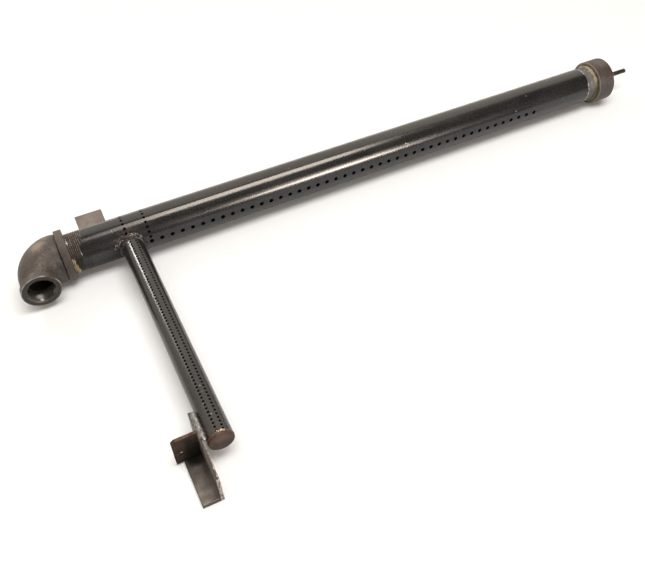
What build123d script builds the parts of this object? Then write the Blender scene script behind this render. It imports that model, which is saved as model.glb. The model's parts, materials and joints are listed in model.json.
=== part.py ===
"""Gas oven burner: a perforated main pipe with a perforated side branch.

Sizes are in millimetres. The origin is the centre of the inlet mouth of the
elbow, which faces -Y. +X runs along the main pipe from the elbow to the cap,
+Z is up, and the branch leaves the main pipe towards -Y. The elbow's large band
and the foot of the support angle stand on one level.
"""

import os
from math import cos, pi, radians, sin, sqrt

from build123d import *

# ---------------------------------------------------------------- reducing elbow
elbow_run = 41.9  # elbow centre to its pipe-side face
elbow_drop = 45.7  # elbow centre to its inlet face
elbow_band_r = 30.8
elbow_band_len = 9.3
inlet_band_r = 22.5
inlet_band_len = 7.7
elbow_body_r = 27.4  # body beside the pipe-side band
inlet_body_r = 19.8  # body beside the inlet band
elbow_bulge = 2.6  # extra radius of the body inside the bend
elbow_wall = 6.6
inlet_tap_r = 15.8
inlet_tap_len = 17.0
inlet_lead_in = 1.3  # chamfer at the mouth of the inlet
bend_sections = 6
band_round = 0.9
neck_round = 2.0  # root fillet between band and body

# ---------------------------------------------------------------- main pipe
pipe_r = 24.13
pipe_wall = 3.68
pipe_length = 797.0
thread_engaged = 16.0  # length of pipe inside each fitting
inlet_thread_len = 37.4
cap_thread_len = 32.0
thread_end_r = 22.8  # mid-depth of the thread at the pipe's end
thread_taper = 1 / 32  # growth of that radius along the engaged length
thread_runout = 1.2

port_r = 2.18
port_pitch = 13.0
front_ports = 44
rear_ports = front_ports + 2
first_port_from_branch = 23.0
ring_port_r = 1.2
ring_step = 15.0  # degrees between the ports that cross over the top
ring_end = 75.0  # last crossing port, in degrees from the top
branch_ring_end = 45.0  # last port above the branch

# ---------------------------------------------------------------- branch
branch_x = 112.9  # elbow centre to the branch's axis
branch_r = 13.335
branch_wall = 2.87
branch_reach = 317.5  # main pipe's axis to the branch's open end
branch_port_r = 0.9
branch_port_pitch = 4.555
last_port_from_end = 2.2
row_half_angle = 15.0  # degrees from the middle of the two rows to each
row_lean = 6.5  # the rows' middle leans this far towards +X
junction_weld_r = 5.0
end_disc_thick = 3.0
end_disc_round = 1.0
end_weld_r = 1.3

# ---------------------------------------------------------------- end cap and pin
cap_r = 29.8
cap_len = 33.8
cap_straight = 25.1
cap_shoulder_r = 27.8
cap_recess_r = 27.6
cap_recess_depth = 4.0
cap_wall = 5.0
cap_round = 0.8
cap_root_round = 0.8
pin_r = 3.175
pin_reach = 37.2
pin_seat = 3.0  # length of pin let into the cap
pin_tip = 0.8
pin_weld_leg = 2.2
pin_weld_hollow = 0.4  # share of the leg left at the middle of its hollow face
pin_weld_depth = 0.3  # the weld and the seat are this much below the pin's surface

# ---------------------------------------------------------------- support angle
foot_leg = 21.3
web_leg = 38.1
angle_thick = 3.2
angle_fillet = 2.4
angle_toe_round = 1.4
angle_gap = 3.15  # gap between the branch's side and the web
angle_front = 43.0  # the angle ends this far past the branch's open end
angle_length = 79.4
angle_weld_clear = 0.2  # gap between this weld and the one round the end disc
angle_weld_rise = 1.5
angle_weld_crown = 0.6
angle_weld_drop = 4.5

# ---------------------------------------------------------------- pilot bracket
pilot_width = 25.4
pilot_height = 37.8
pilot_thick = 3.2
pilot_corner = 3.2
pilot_hole_r = 2.75
pilot_hole_side = 6.8  # hole centre from the free side edge
pilot_hole_up = 13.8  # hole centre from the bottom edge
pilot_behind_end = 13.2  # the plate's rear face, behind the branch's open end
pilot_weld_r = 2.6
pilot_weld_height = 24.0

# ---------------------------------------------------------------- rear tab
tab_width = 33.1
tab_over_thread = 1.1  # the tab starts this far short of the thread's end
tab_reach = 36.0  # beyond the back of the main pipe
tab_thick = 3.2
tab_round = 1.0
tab_weld_r = 3.0
tab_weld_length = 26.0

# ---------------------------------------------------------------- thread sealant
sealant_r = 24.9
cap_sealant_len = 6.5
cap_sealant_in = 1.5  # reach into the cap's recess
inlet_sealant_len = 7.0
inlet_sealant_start = 55.0  # degrees from the top, towards -Y
inlet_sealant_arc = 110.0

cut_past = 1.0  # a cut runs this far past the surface that it opens

# ---------------------------------------------------------------- worked-out places
pipe_y = elbow_drop
pipe_start = elbow_run - thread_engaged
pipe_end = pipe_start + pipe_length
pipe_bore_r = pipe_r - pipe_wall
branch_bore_r = branch_r - branch_wall
thread_face_r = thread_end_r + thread_taper * thread_engaged
cap_rim_x = pipe_end - thread_engaged
cap_end_x = cap_rim_x + cap_len
dome_rise = cap_len - cap_straight
dome_r = (cap_shoulder_r**2 + dome_rise**2) / (2 * dome_rise)
first_port_x = branch_x + first_port_from_branch
branch_ring_x = first_port_x - 2 * port_pitch
branch_end_y = pipe_y - branch_reach
branch_port_run = branch_reach - last_port_from_end - pipe_r
branch_ports = 1 + int(branch_port_run / branch_port_pitch)
pin_root_r = pin_r - pin_weld_depth
pin_root_end_x = cap_end_x + pin_weld_leg
floor_z = -elbow_band_r
web_outer_x = branch_x - branch_r - angle_gap
web_inner_x = web_outer_x - angle_thick
angle_front_y = branch_end_y - angle_front
angle_rear_y = angle_front_y + angle_length
foot_top_z = floor_z + angle_thick
web_top_z = floor_z + web_leg
pilot_rear_y = branch_end_y + pilot_behind_end
pilot_front_y = pilot_rear_y - pilot_thick
tab_x = pipe_start + inlet_thread_len - tab_over_thread + tab_width / 2

pipe_axis = Axis((0, pipe_y, 0), (1, 0, 0))
branch_axis = Axis((branch_x, pipe_y, 0), (0, -1, 0))
pipe_plane = Plane((0, pipe_y, 0), x_dir=(1, 0, 0), z_dir=(0, -1, 0))
branch_plane = Plane((branch_x, pipe_y, 0), x_dir=(0, -1, 0), z_dir=(1, 0, 0))

os.makedirs("parts", exist_ok=True)


def bend_body_r(share):
    """Radius of the elbow's body at a share of the bend, from the pipe side."""
    bulge = elbow_bulge * sin(pi * share**0.7)
    return elbow_body_r + (inlet_body_r - elbow_body_r) * share**1.5 + bulge


def bend_plane(turn):
    """Section plane of the elbow's bend, turned from the pipe side."""
    run_radius = elbow_run - elbow_band_len
    centre_y = elbow_drop - run_radius
    angle = radians(turn)
    origin = (run_radius - run_radius * sin(angle), centre_y + run_radius * cos(angle), 0)
    return Plane(origin, x_dir=(0, 0, 1), z_dir=(-cos(angle), -sin(angle), 0))


def dome_x(radius):
    """Place along the pipe of the cap's domed end at a distance from the axis."""
    return cap_end_x - dome_r + sqrt(dome_r**2 - radius**2)


def radial_plane(x, angle):
    """Plane through the main pipe's axis, facing out at an angle from the top."""
    out = (0, -sin(radians(angle)), cos(radians(angle)))
    return Plane((x, pipe_y, 0), x_dir=(1, 0, 0), z_dir=out)


# ================================================================= main pipe
with BuildPart() as main_pipe:
    with BuildSketch(pipe_plane):
        with BuildLine():
            Polyline(
                (pipe_start, pipe_bore_r),
                (pipe_start, thread_end_r),
                (pipe_start + thread_engaged, thread_face_r),
                (pipe_start + inlet_thread_len - thread_runout, thread_face_r),
                (pipe_start + inlet_thread_len, pipe_r),
                (pipe_end - cap_thread_len, pipe_r),
                (pipe_end - cap_thread_len + thread_runout, thread_face_r),
                (pipe_end - thread_engaged, thread_face_r),
                (pipe_end, thread_end_r),
                (pipe_end, pipe_bore_r),
                close=True,
            )
        make_face()
    revolve(axis=pipe_axis)

    # Opening into the branch.
    with BuildSketch(Plane((branch_x, pipe_y, 0), x_dir=(1, 0, 0), z_dir=(0, -1, 0))):
        Circle(branch_bore_r)
    # Main rows of ports on the two sides of the pipe.
    with BuildSketch(radial_plane(first_port_x, 90)):
        with Locations(*[(port_pitch * step, 0) for step in range(front_ports)]):
            Circle(port_r)
    with BuildSketch(radial_plane(branch_ring_x, -90)):
        with Locations(*[(port_pitch * step, 0) for step in range(rear_ports)]):
            Circle(port_r)
    # Two lines of small ports that carry the flame over the top.
    crossing = int(ring_end / ring_step)
    for step in range(-crossing, crossing + 1):
        angle = ring_step * step
        with BuildSketch(radial_plane(first_port_x, angle)):
            Circle(ring_port_r)
        if angle <= branch_ring_end:
            with BuildSketch(radial_plane(branch_ring_x, angle)):
                Circle(ring_port_r)
    extrude(amount=pipe_r + cut_past, mode=Mode.SUBTRACT)
main_pipe.part.label = "main_pipe"
export_step(main_pipe.part, "parts/main_pipe.step")

# ================================================================= reducing elbow
with BuildPart() as inlet_elbow:
    # Body: circles that swell and then shrink as they turn through the bend.
    for step in range(bend_sections + 1):
        share = step / bend_sections
        with BuildSketch(bend_plane(90 * share)):
            Circle(bend_body_r(share))
    loft()
    # Neck between the bend and the inlet band.
    neck_y = elbow_drop - (elbow_run - elbow_band_len)
    with BuildSketch(Plane.XZ.offset(-neck_y)):
        Circle(inlet_body_r)
    extrude(amount=neck_y - inlet_band_len)
    # Reinforcing bands at the two mouths.
    with BuildSketch(Plane((elbow_run, pipe_y, 0), x_dir=(0, 1, 0), z_dir=(-1, 0, 0))):
        Circle(elbow_band_r)
    extrude(amount=elbow_band_len)
    with BuildSketch(Plane.XZ):
        Circle(inlet_band_r)
    extrude(amount=-inlet_band_len)
    band_edges = inlet_elbow.edges().filter_by(GeomType.CIRCLE)
    fillet(band_edges.filter_by(lambda e: abs(e.radius - elbow_band_r) < 1e-6), band_round)
    fillet(band_edges.filter_by(lambda e: abs(e.radius - inlet_band_r) < 1e-6), band_round)
    roots = inlet_elbow.edges().filter_by(GeomType.CIRCLE)
    fillet(roots.filter_by(lambda e: abs(e.radius - inlet_body_r) < 1e-6), neck_round)
    # Waterway, shrinking with the body.
    for step in range(bend_sections + 1):
        share = step / bend_sections
        with BuildSketch(bend_plane(90 * share)):
            Circle(bend_body_r(share) - elbow_wall)
    loft(mode=Mode.SUBTRACT)
    # Tapered seat for the main pipe.
    with BuildSketch(pipe_plane):
        with BuildLine():
            Polyline(
                (elbow_run, 0),
                (elbow_run, thread_face_r),
                (pipe_start, thread_end_r),
                (pipe_start, 0),
                close=True,
            )
        make_face()
    revolve(axis=pipe_axis, mode=Mode.SUBTRACT)
    # Tapped inlet with a lead-in chamfer, and the way on to the bend.
    with BuildSketch(Plane.YZ):
        with BuildLine():
            Polyline(
                (0, 0),
                (0, inlet_tap_r + inlet_lead_in),
                (inlet_lead_in, inlet_tap_r),
                (inlet_tap_len, inlet_tap_r),
                (inlet_tap_len, 0),
                close=True,
            )
        make_face()
    revolve(axis=Axis.Y, mode=Mode.SUBTRACT)
inlet_elbow.part.label = "inlet_elbow"
export_step(inlet_elbow.part, "parts/inlet_elbow.step")

# ================================================================= branch tube
with BuildPart() as branch_tube:
    with BuildSketch(branch_plane):
        with BuildLine():
            Polyline(
                (0, branch_bore_r),
                (0, branch_r),
                (branch_reach, branch_r),
                (branch_reach, branch_bore_r),
                close=True,
            )
        make_face()
    revolve(axis=branch_axis)
    # The end is coped to sit on the main pipe.
    with BuildSketch(Plane.YZ.offset(branch_x - pipe_r)):
        with Locations((pipe_y, 0)):
            Circle(pipe_r)
    extrude(amount=2 * pipe_r, mode=Mode.SUBTRACT)
    # Two lines of fine ports, one each side of the top.
    for side in (-1, 1):
        angle = radians(row_lean + side * row_half_angle)
        out = (sin(angle), 0, cos(angle))
        start = (branch_x, branch_end_y + last_port_from_end, 0)
        with BuildSketch(Plane(start, x_dir=(0, 1, 0), z_dir=out)):
            with Locations(*[(branch_port_pitch * step, 0) for step in range(branch_ports)]):
                Circle(branch_port_r)
    extrude(amount=branch_r + cut_past, mode=Mode.SUBTRACT)
branch_tube.part.label = "branch_tube"
export_step(branch_tube.part, "parts/branch_tube.step")

# Fillet weld all round the saddle: the two tubes' outsides are joined, the
# meeting edge is filled, and the tubes themselves are taken away again.
with BuildPart() as junction_weld:
    saddle_half = pipe_r + branch_r
    saddle_reach = pipe_r + 2 * branch_r
    with BuildSketch(Plane.YZ.offset(branch_x - saddle_half)):
        with Locations((pipe_y, 0)):
            Circle(pipe_r)
    extrude(amount=2 * saddle_half)
    with BuildSketch(Plane((branch_x, pipe_y, 0), x_dir=(1, 0, 0), z_dir=(0, -1, 0))):
        Circle(branch_r)
    extrude(amount=saddle_reach)
    saddle = junction_weld.edges().filter_by(
        lambda e: e.geom_type not in (GeomType.LINE, GeomType.CIRCLE)
    )
    fillet(saddle, junction_weld_r)
    with BuildSketch(Plane.YZ.offset(branch_x - saddle_half)):
        with Locations((pipe_y, 0)):
            Circle(pipe_r)
    extrude(amount=2 * saddle_half, mode=Mode.SUBTRACT)
    with BuildSketch(Plane((branch_x, pipe_y, 0), x_dir=(1, 0, 0), z_dir=(0, -1, 0))):
        Circle(branch_r)
    extrude(amount=saddle_reach, mode=Mode.SUBTRACT)
junction_weld.part.label = "junction_weld"
export_step(junction_weld.part, "parts/junction_weld.step")

with BuildPart() as branch_end_disc:
    with BuildSketch(Plane.XZ.offset(-branch_end_y)):
        with Locations((branch_x, 0)):
            Circle(branch_r)
    extrude(amount=end_disc_thick)
    fillet(branch_end_disc.faces().sort_by(Axis.Y)[0].edges(), end_disc_round)
branch_end_disc.part.label = "branch_end_disc"
export_step(branch_end_disc.part, "parts/branch_end_disc.step")

with BuildPart() as end_disc_weld:
    with BuildSketch(branch_plane):
        with Locations((branch_reach, branch_r)):
            Circle(end_weld_r)
        with Locations((branch_reach, branch_r / 2)):
            Rectangle(4 * end_weld_r, branch_r, mode=Mode.SUBTRACT)
    revolve(axis=branch_axis)
end_disc_weld.part.label = "end_disc_weld"
export_step(end_disc_weld.part, "parts/end_disc_weld.step")

# ================================================================= end cap and pin
with BuildPart() as end_cap:
    with BuildSketch(pipe_plane):
        with BuildLine():
            Polyline(
                (cap_end_x, 0),
                (cap_end_x - cap_wall, 0),
                (cap_end_x - cap_wall, pipe_bore_r),
                (pipe_end, thread_end_r),
                (cap_rim_x + cap_recess_depth, thread_face_r - thread_taper * cap_recess_depth),
                (cap_rim_x, cap_recess_r),
                (cap_rim_x, cap_r),
                (cap_rim_x + cap_straight, cap_r),
                (cap_rim_x + cap_straight, cap_shoulder_r),
            )
            ThreePointArc(
                (cap_rim_x + cap_straight, cap_shoulder_r),
                (dome_x(cap_shoulder_r / 2), cap_shoulder_r / 2),
                (cap_end_x, 0),
            )
        make_face()
    revolve(axis=pipe_axis)
    rim_edges = end_cap.edges().filter_by(GeomType.CIRCLE)
    fillet(rim_edges.filter_by(lambda e: abs(e.radius - cap_r) < 1e-6), cap_round)
    fillet(rim_edges.filter_by(lambda e: abs(e.radius - cap_shoulder_r) < 1e-6), cap_root_round)
    # Blind seat for the pin.
    with BuildSketch(Plane((cap_end_x - pin_seat, pipe_y, 0), x_dir=(0, 1, 0), z_dir=(1, 0, 0))):
        Circle(pin_root_r)
    extrude(amount=2 * pin_seat, mode=Mode.SUBTRACT)
end_cap.part.label = "end_cap"
export_step(end_cap.part, "parts/end_cap.step")

with BuildPart() as locating_pin:
    with BuildSketch(pipe_plane):
        with BuildLine():
            Polyline(
                (cap_end_x - pin_seat, 0),
                (cap_end_x - pin_seat, pin_root_r),
                (pin_root_end_x, pin_root_r),
                (pin_root_end_x, pin_r),
                (cap_end_x + pin_reach, pin_r),
                (cap_end_x + pin_reach, 0),
                close=True,
            )
        make_face()
    revolve(axis=pipe_axis)
    fillet(locating_pin.faces().sort_by(Axis.X)[-1].edges(), pin_tip)
locating_pin.part.label = "locating_pin"
export_step(locating_pin.part, "parts/locating_pin.step")

with BuildPart() as pin_weld:
    with BuildSketch(pipe_plane):
        with BuildLine():
            foot = (dome_x(pin_r + pin_weld_leg), pin_r + pin_weld_leg)
            top = (pin_root_end_x, pin_r)
            base = (dome_x(pin_root_r), pin_root_r)
            middle_r = pin_r + pin_weld_leg / 2
            ThreePointArc(base, (dome_x(middle_r), middle_r), foot)
            hollow = pin_weld_hollow * pin_weld_leg
            ThreePointArc(foot, (cap_end_x + hollow, pin_r + hollow), top)
            Polyline(top, (pin_root_end_x, pin_root_r), base)
        make_face()
    revolve(axis=pipe_axis)
pin_weld.part.label = "pin_weld"
export_step(pin_weld.part, "parts/pin_weld.step")

# ================================================================= support angle
with BuildPart() as support_angle:
    with BuildSketch(Plane.XZ.offset(-angle_rear_y)):
        with BuildLine():
            Polyline(
                (web_outer_x - foot_leg, floor_z),
                (web_outer_x, floor_z),
                (web_outer_x, web_top_z),
                (web_inner_x, web_top_z),
                (web_inner_x, foot_top_z),
                (web_outer_x - foot_leg, foot_top_z),
                close=True,
            )
        make_face()
        upper = vertices().filter_by(lambda v: v.Y > floor_z + angle_thick / 2)
        inner = upper.filter_by(lambda v: v.X < web_outer_x - angle_thick / 2)
        root = inner.sort_by(lambda v: v.Y - v.X)[0]
        toes = inner.sort_by(lambda v: v.Y - v.X)[1:]
        fillet(root, angle_fillet)
        fillet(toes, angle_toe_round)
    extrude(amount=angle_length)
support_angle.part.label = "support_angle"
export_step(support_angle.part, "parts/support_angle.step")

# The weld bridges the gap between the web's top edge and the side of the branch.
with BuildPart() as angle_weld:
    weld_top_z = web_top_z + angle_weld_rise
    weld_low_z = web_top_z - angle_weld_drop
    weld_front_y = branch_end_y + end_weld_r + angle_weld_clear
    with BuildSketch(Plane.XZ.offset(-angle_rear_y)):
        with BuildLine():
            edge = (web_inner_x + angle_toe_round, web_top_z)
            crown = (web_outer_x + angle_gap / 2, weld_top_z + angle_weld_crown)
            contact = (branch_x - sqrt(branch_r**2 - weld_top_z**2), weld_top_z)
            ThreePointArc(edge, crown, contact)
            Polyline(
                contact,
                (branch_x, weld_top_z),
                (branch_x, weld_low_z),
                (web_outer_x, weld_low_z),
                (web_outer_x, web_top_z),
                edge,
            )
        make_face()
        with Locations((branch_x, 0)):
            Circle(branch_r, mode=Mode.SUBTRACT)
    extrude(amount=angle_rear_y - weld_front_y)
angle_weld.part.label = "angle_weld"
export_step(angle_weld.part, "parts/angle_weld.step")

# ================================================================= pilot bracket
with BuildPart() as pilot_bracket:
    with BuildSketch(Plane.XZ.offset(-pilot_rear_y)):
        with Locations((web_inner_x, foot_top_z)):
            Rectangle(pilot_width, pilot_height, align=(Align.MAX, Align.MIN))
        chamfer(vertices().sort_by(lambda v: v.Y - v.X)[-1], pilot_corner)
        # The inner bottom corner clears the root of the angle.
        chamfer(vertices().sort_by(lambda v: v.Y - v.X)[0], angle_fillet)
        with Locations(
            (web_inner_x - pilot_width + pilot_hole_side, foot_top_z + pilot_hole_up)
        ):
            Circle(pilot_hole_r, mode=Mode.SUBTRACT)
    extrude(amount=pilot_thick)
pilot_bracket.part.label = "pilot_bracket"
export_step(pilot_bracket.part, "parts/pilot_bracket.step")

with BuildPart() as pilot_bracket_weld:
    with BuildSketch(Plane.XY.offset(foot_top_z + angle_fillet)):
        with Locations((web_inner_x, pilot_rear_y)):
            Circle(pilot_weld_r)
        # Only the quarter outside the web and the plate is weld.
        with Locations((web_inner_x - pilot_weld_r, pilot_rear_y)):
            Rectangle(pilot_weld_r, pilot_weld_r, align=Align.MIN, mode=Mode.INTERSECT)
    extrude(amount=pilot_weld_height)
pilot_bracket_weld.part.label = "pilot_bracket_weld"
export_step(pilot_bracket_weld.part, "parts/pilot_bracket_weld.step")

# ================================================================= rear tab
with BuildPart() as rear_tab:
    with BuildSketch(Plane.XY.offset(-tab_thick / 2)):
        with Locations((tab_x, pipe_y + pipe_r + tab_reach)):
            Rectangle(tab_width, tab_reach + pipe_r / 2, align=(Align.CENTER, Align.MAX))
        fillet(vertices().group_by(Axis.Y)[-1], tab_round)
    extrude(amount=tab_thick)
    with BuildSketch(Plane.YZ.offset(tab_x - tab_width)):
        with Locations((pipe_y, 0)):
            Circle(pipe_r)
    extrude(amount=2 * tab_width, mode=Mode.SUBTRACT)
rear_tab.part.label = "rear_tab"
export_step(rear_tab.part, "parts/rear_tab.step")

for name, side in (("rear_tab_weld_top", 1), ("rear_tab_weld_bottom", -1)):
    with BuildPart() as tab_weld:
        with BuildSketch(Plane.YZ.offset(tab_x - tab_weld_length / 2)):
            seam_y = pipe_y + sqrt(pipe_r**2 - (tab_thick / 2) ** 2)
            with Locations((seam_y, side * tab_thick / 2)):
                Circle(tab_weld_r)
            with Locations((pipe_y, 0)):
                Circle(pipe_r, mode=Mode.SUBTRACT)
                Rectangle(4 * pipe_r, tab_thick, mode=Mode.SUBTRACT)
            low_half = Align.MAX if side > 0 else Align.MIN
            with Locations((pipe_y, 0)):
                Rectangle(4 * pipe_r, 2 * pipe_r, align=(Align.CENTER, low_half), mode=Mode.SUBTRACT)
        extrude(amount=tab_weld_length)
    tab_weld.part.label = name
    export_step(tab_weld.part, f"parts/{name}.step")

# ================================================================= thread sealant
with BuildPart() as cap_sealant:
    with BuildSketch(pipe_plane):
        with BuildLine():
            Polyline(
                (cap_rim_x - cap_sealant_len, thread_face_r),
                (cap_rim_x + cap_sealant_in, thread_face_r),
                (cap_rim_x + cap_sealant_in, sealant_r),
                (cap_rim_x - cap_sealant_len / 2, sealant_r),
                close=True,
            )
        make_face()
    revolve(axis=pipe_axis)
cap_sealant.part.label = "cap_sealant"
export_step(cap_sealant.part, "parts/cap_sealant.step")

with BuildPart() as inlet_sealant:
    # A sketch on a radial plane has the plane's outward side a quarter turn ahead.
    with BuildSketch(radial_plane(0, inlet_sealant_start + 90)):
        with BuildLine():
            Polyline(
                (elbow_run, thread_face_r),
                (elbow_run + inlet_sealant_len, thread_face_r),
                (elbow_run, sealant_r),
                close=True,
            )
        make_face()
    revolve(axis=pipe_axis, revolution_arc=inlet_sealant_arc)
inlet_sealant.part.label = "inlet_sealant"
export_step(inlet_sealant.part, "parts/inlet_sealant.step")
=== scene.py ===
"""Dresses the gas oven burner and sets its studio.

Everything is in metres, in the frame of the solids: the origin is the centre of
the elbow's inlet mouth, +X runs along the main pipe, +Z is up, and the branch
points to -Y. Threads, weld beads, sealant, burrs and scars are modelled here, and
every solid gets its finish.
"""

import json
import logging
import math
import random
from collections.abc import Callable
from dataclasses import dataclass
from enum import Enum

import bmesh
import bpy
from bmesh.types import BMesh, BMVert
from bpy.types import Material, Node, NodeSocket, Object
from mathutils import Matrix, Vector, noise

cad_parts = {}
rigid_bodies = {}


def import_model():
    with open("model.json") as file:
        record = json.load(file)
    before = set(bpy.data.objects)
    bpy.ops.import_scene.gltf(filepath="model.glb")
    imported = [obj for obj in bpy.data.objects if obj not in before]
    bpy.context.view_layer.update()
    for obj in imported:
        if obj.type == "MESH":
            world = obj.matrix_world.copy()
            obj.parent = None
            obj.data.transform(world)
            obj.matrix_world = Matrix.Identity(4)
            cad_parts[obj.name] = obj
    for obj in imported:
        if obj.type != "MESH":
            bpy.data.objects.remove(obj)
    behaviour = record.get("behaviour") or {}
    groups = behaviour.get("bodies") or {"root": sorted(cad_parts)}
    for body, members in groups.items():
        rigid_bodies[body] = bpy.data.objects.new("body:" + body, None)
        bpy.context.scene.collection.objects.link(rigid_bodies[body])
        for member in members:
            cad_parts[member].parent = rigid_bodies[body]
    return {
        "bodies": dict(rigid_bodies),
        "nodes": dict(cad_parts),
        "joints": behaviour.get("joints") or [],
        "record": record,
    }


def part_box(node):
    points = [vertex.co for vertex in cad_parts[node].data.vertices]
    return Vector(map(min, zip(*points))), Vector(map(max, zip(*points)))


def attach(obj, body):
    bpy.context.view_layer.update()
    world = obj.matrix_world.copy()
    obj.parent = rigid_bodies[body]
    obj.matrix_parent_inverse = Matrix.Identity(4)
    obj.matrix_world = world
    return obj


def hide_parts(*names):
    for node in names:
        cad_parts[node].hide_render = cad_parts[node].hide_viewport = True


LOG = logging.getLogger("burner")
MM = 0.001
FULL_TURN = 2 * math.pi
UP = Vector((0, 0, 1))
INLET_THREAD = 37.4 * MM  # length of the main pipe's thread at the elbow
CAP_THREAD = 32.0 * MM  # length of its thread at the cap
THREAD_DEPTH = 0.83 * MM
SLANT = 0.26  # how fast the thread at the elbow shortens towards the front
SLANT_FROM = 14 * MM  # where behind the pipe's axis that starts
THREAD_RUN_ON = 1.3 * MM  # how far its filled-up last turn reaches over the plain pipe
BORE_RADIUS = 15.8 * MM  # radius of the tapped inlet
PORT_PITCH = 13 * MM  # between the ports of the main pipe's front row
PORTS = 44  # in that row
FIRST_PORT = 23 * MM  # from the branch's axis to the first of them
RING_STEP = 15.0  # degrees between the ports that cross over the top
BRANCH_PORT_PITCH = 4.555 * MM
BRANCH_PORTS = 64  # in each row
BRANCH_ROWS = (-8.5, 21.5)  # degrees from the top
BODY = "root"
Colour = tuple[float, float, float]


class Axis(Enum):
    """The directions that tubes, beads and grain run in."""

    X = (1.0, 0.0, 0.0)
    Y = (0.0, 1.0, 0.0)
    Z = (0.0, 0.0, 1.0)

    @property
    def vector(self) -> Vector:
        """The direction as a vector."""
        return Vector(self.value)


# ============================================================ places
@dataclass(frozen=True)
class Tube:
    """A round piece of the burner, as its solid gives it."""

    axis: Axis
    centre: Vector
    radius: float
    start: float
    end: float

    @classmethod
    def of(cls, node: str, axis: Axis) -> "Tube":
        """Reads a round solid's place and size from its box.

        Args:
            node: the solid's name.
            axis: the direction that it runs in, X or Y.

        Returns:
            The tube, with its centre halfway along.
        """
        low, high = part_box(node)
        middle = (low + high) / 2
        radius = (high.z - low.z) / 2
        if axis is Axis.X:
            return cls(axis, middle, radius, low.x, high.x)
        return cls(axis, middle, radius, low.y, high.y)


@dataclass(frozen=True)
class Places:
    """Where the burner's main pieces are."""

    pipe: Tube
    branch: Tube
    cap: Tube
    pin: Tube
    elbow_face: float
    inlet_mouth: float
    floor: float

    @classmethod
    def read(cls) -> "Places":
        """Reads every place from the solids' boxes.

        Returns:
            The places.
        """
        elbow_low, elbow_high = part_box("inlet_elbow")
        return cls(
            pipe=Tube.of("main_pipe", Axis.X),
            branch=Tube.of("branch_tube", Axis.Y),
            cap=Tube.of("end_cap", Axis.X),
            pin=Tube.of("locating_pin", Axis.X),
            elbow_face=elbow_high.x,
            inlet_mouth=elbow_low.y,
            floor=elbow_low.z,
        )

    def on_pipe(self, along: float, angle: float, lift: float = 0.0) -> Vector:
        """A point on the main pipe.

        Args:
            along: its place along X.
            angle: degrees from the top towards -Y.
            lift: height above the surface.

        Returns:
            The point.
        """
        reach = self.pipe.radius + lift
        turn = math.radians(angle)
        return Vector((along, self.pipe.centre.y - reach * math.sin(turn), reach * math.cos(turn)))

    def on_branch(self, along: float, angle: float, lift: float = 0.0) -> Vector:
        """A point on the branch.

        Args:
            along: its place along Y.
            angle: degrees from the top towards +X.
            lift: height above the surface.

        Returns:
            The point.
        """
        reach = self.branch.radius + lift
        turn = math.radians(angle)
        return Vector((self.branch.centre.x + reach * math.sin(turn), along, reach * math.cos(turn)))


# ============================================================ node graphs
@dataclass(frozen=True)
class Patch:
    """A round area of another colour."""

    at: Vector
    radius: float
    soft: float
    colour: Colour
    share: float = 1.0
    ragged: float = 0.0


@dataclass(frozen=True)
class Line:
    """A band of another colour between two values of a coordinate."""

    across: str
    start: float
    end: float
    soft: float
    colour: Colour
    share: float = 1.0
    broken: float = 0.0


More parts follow.
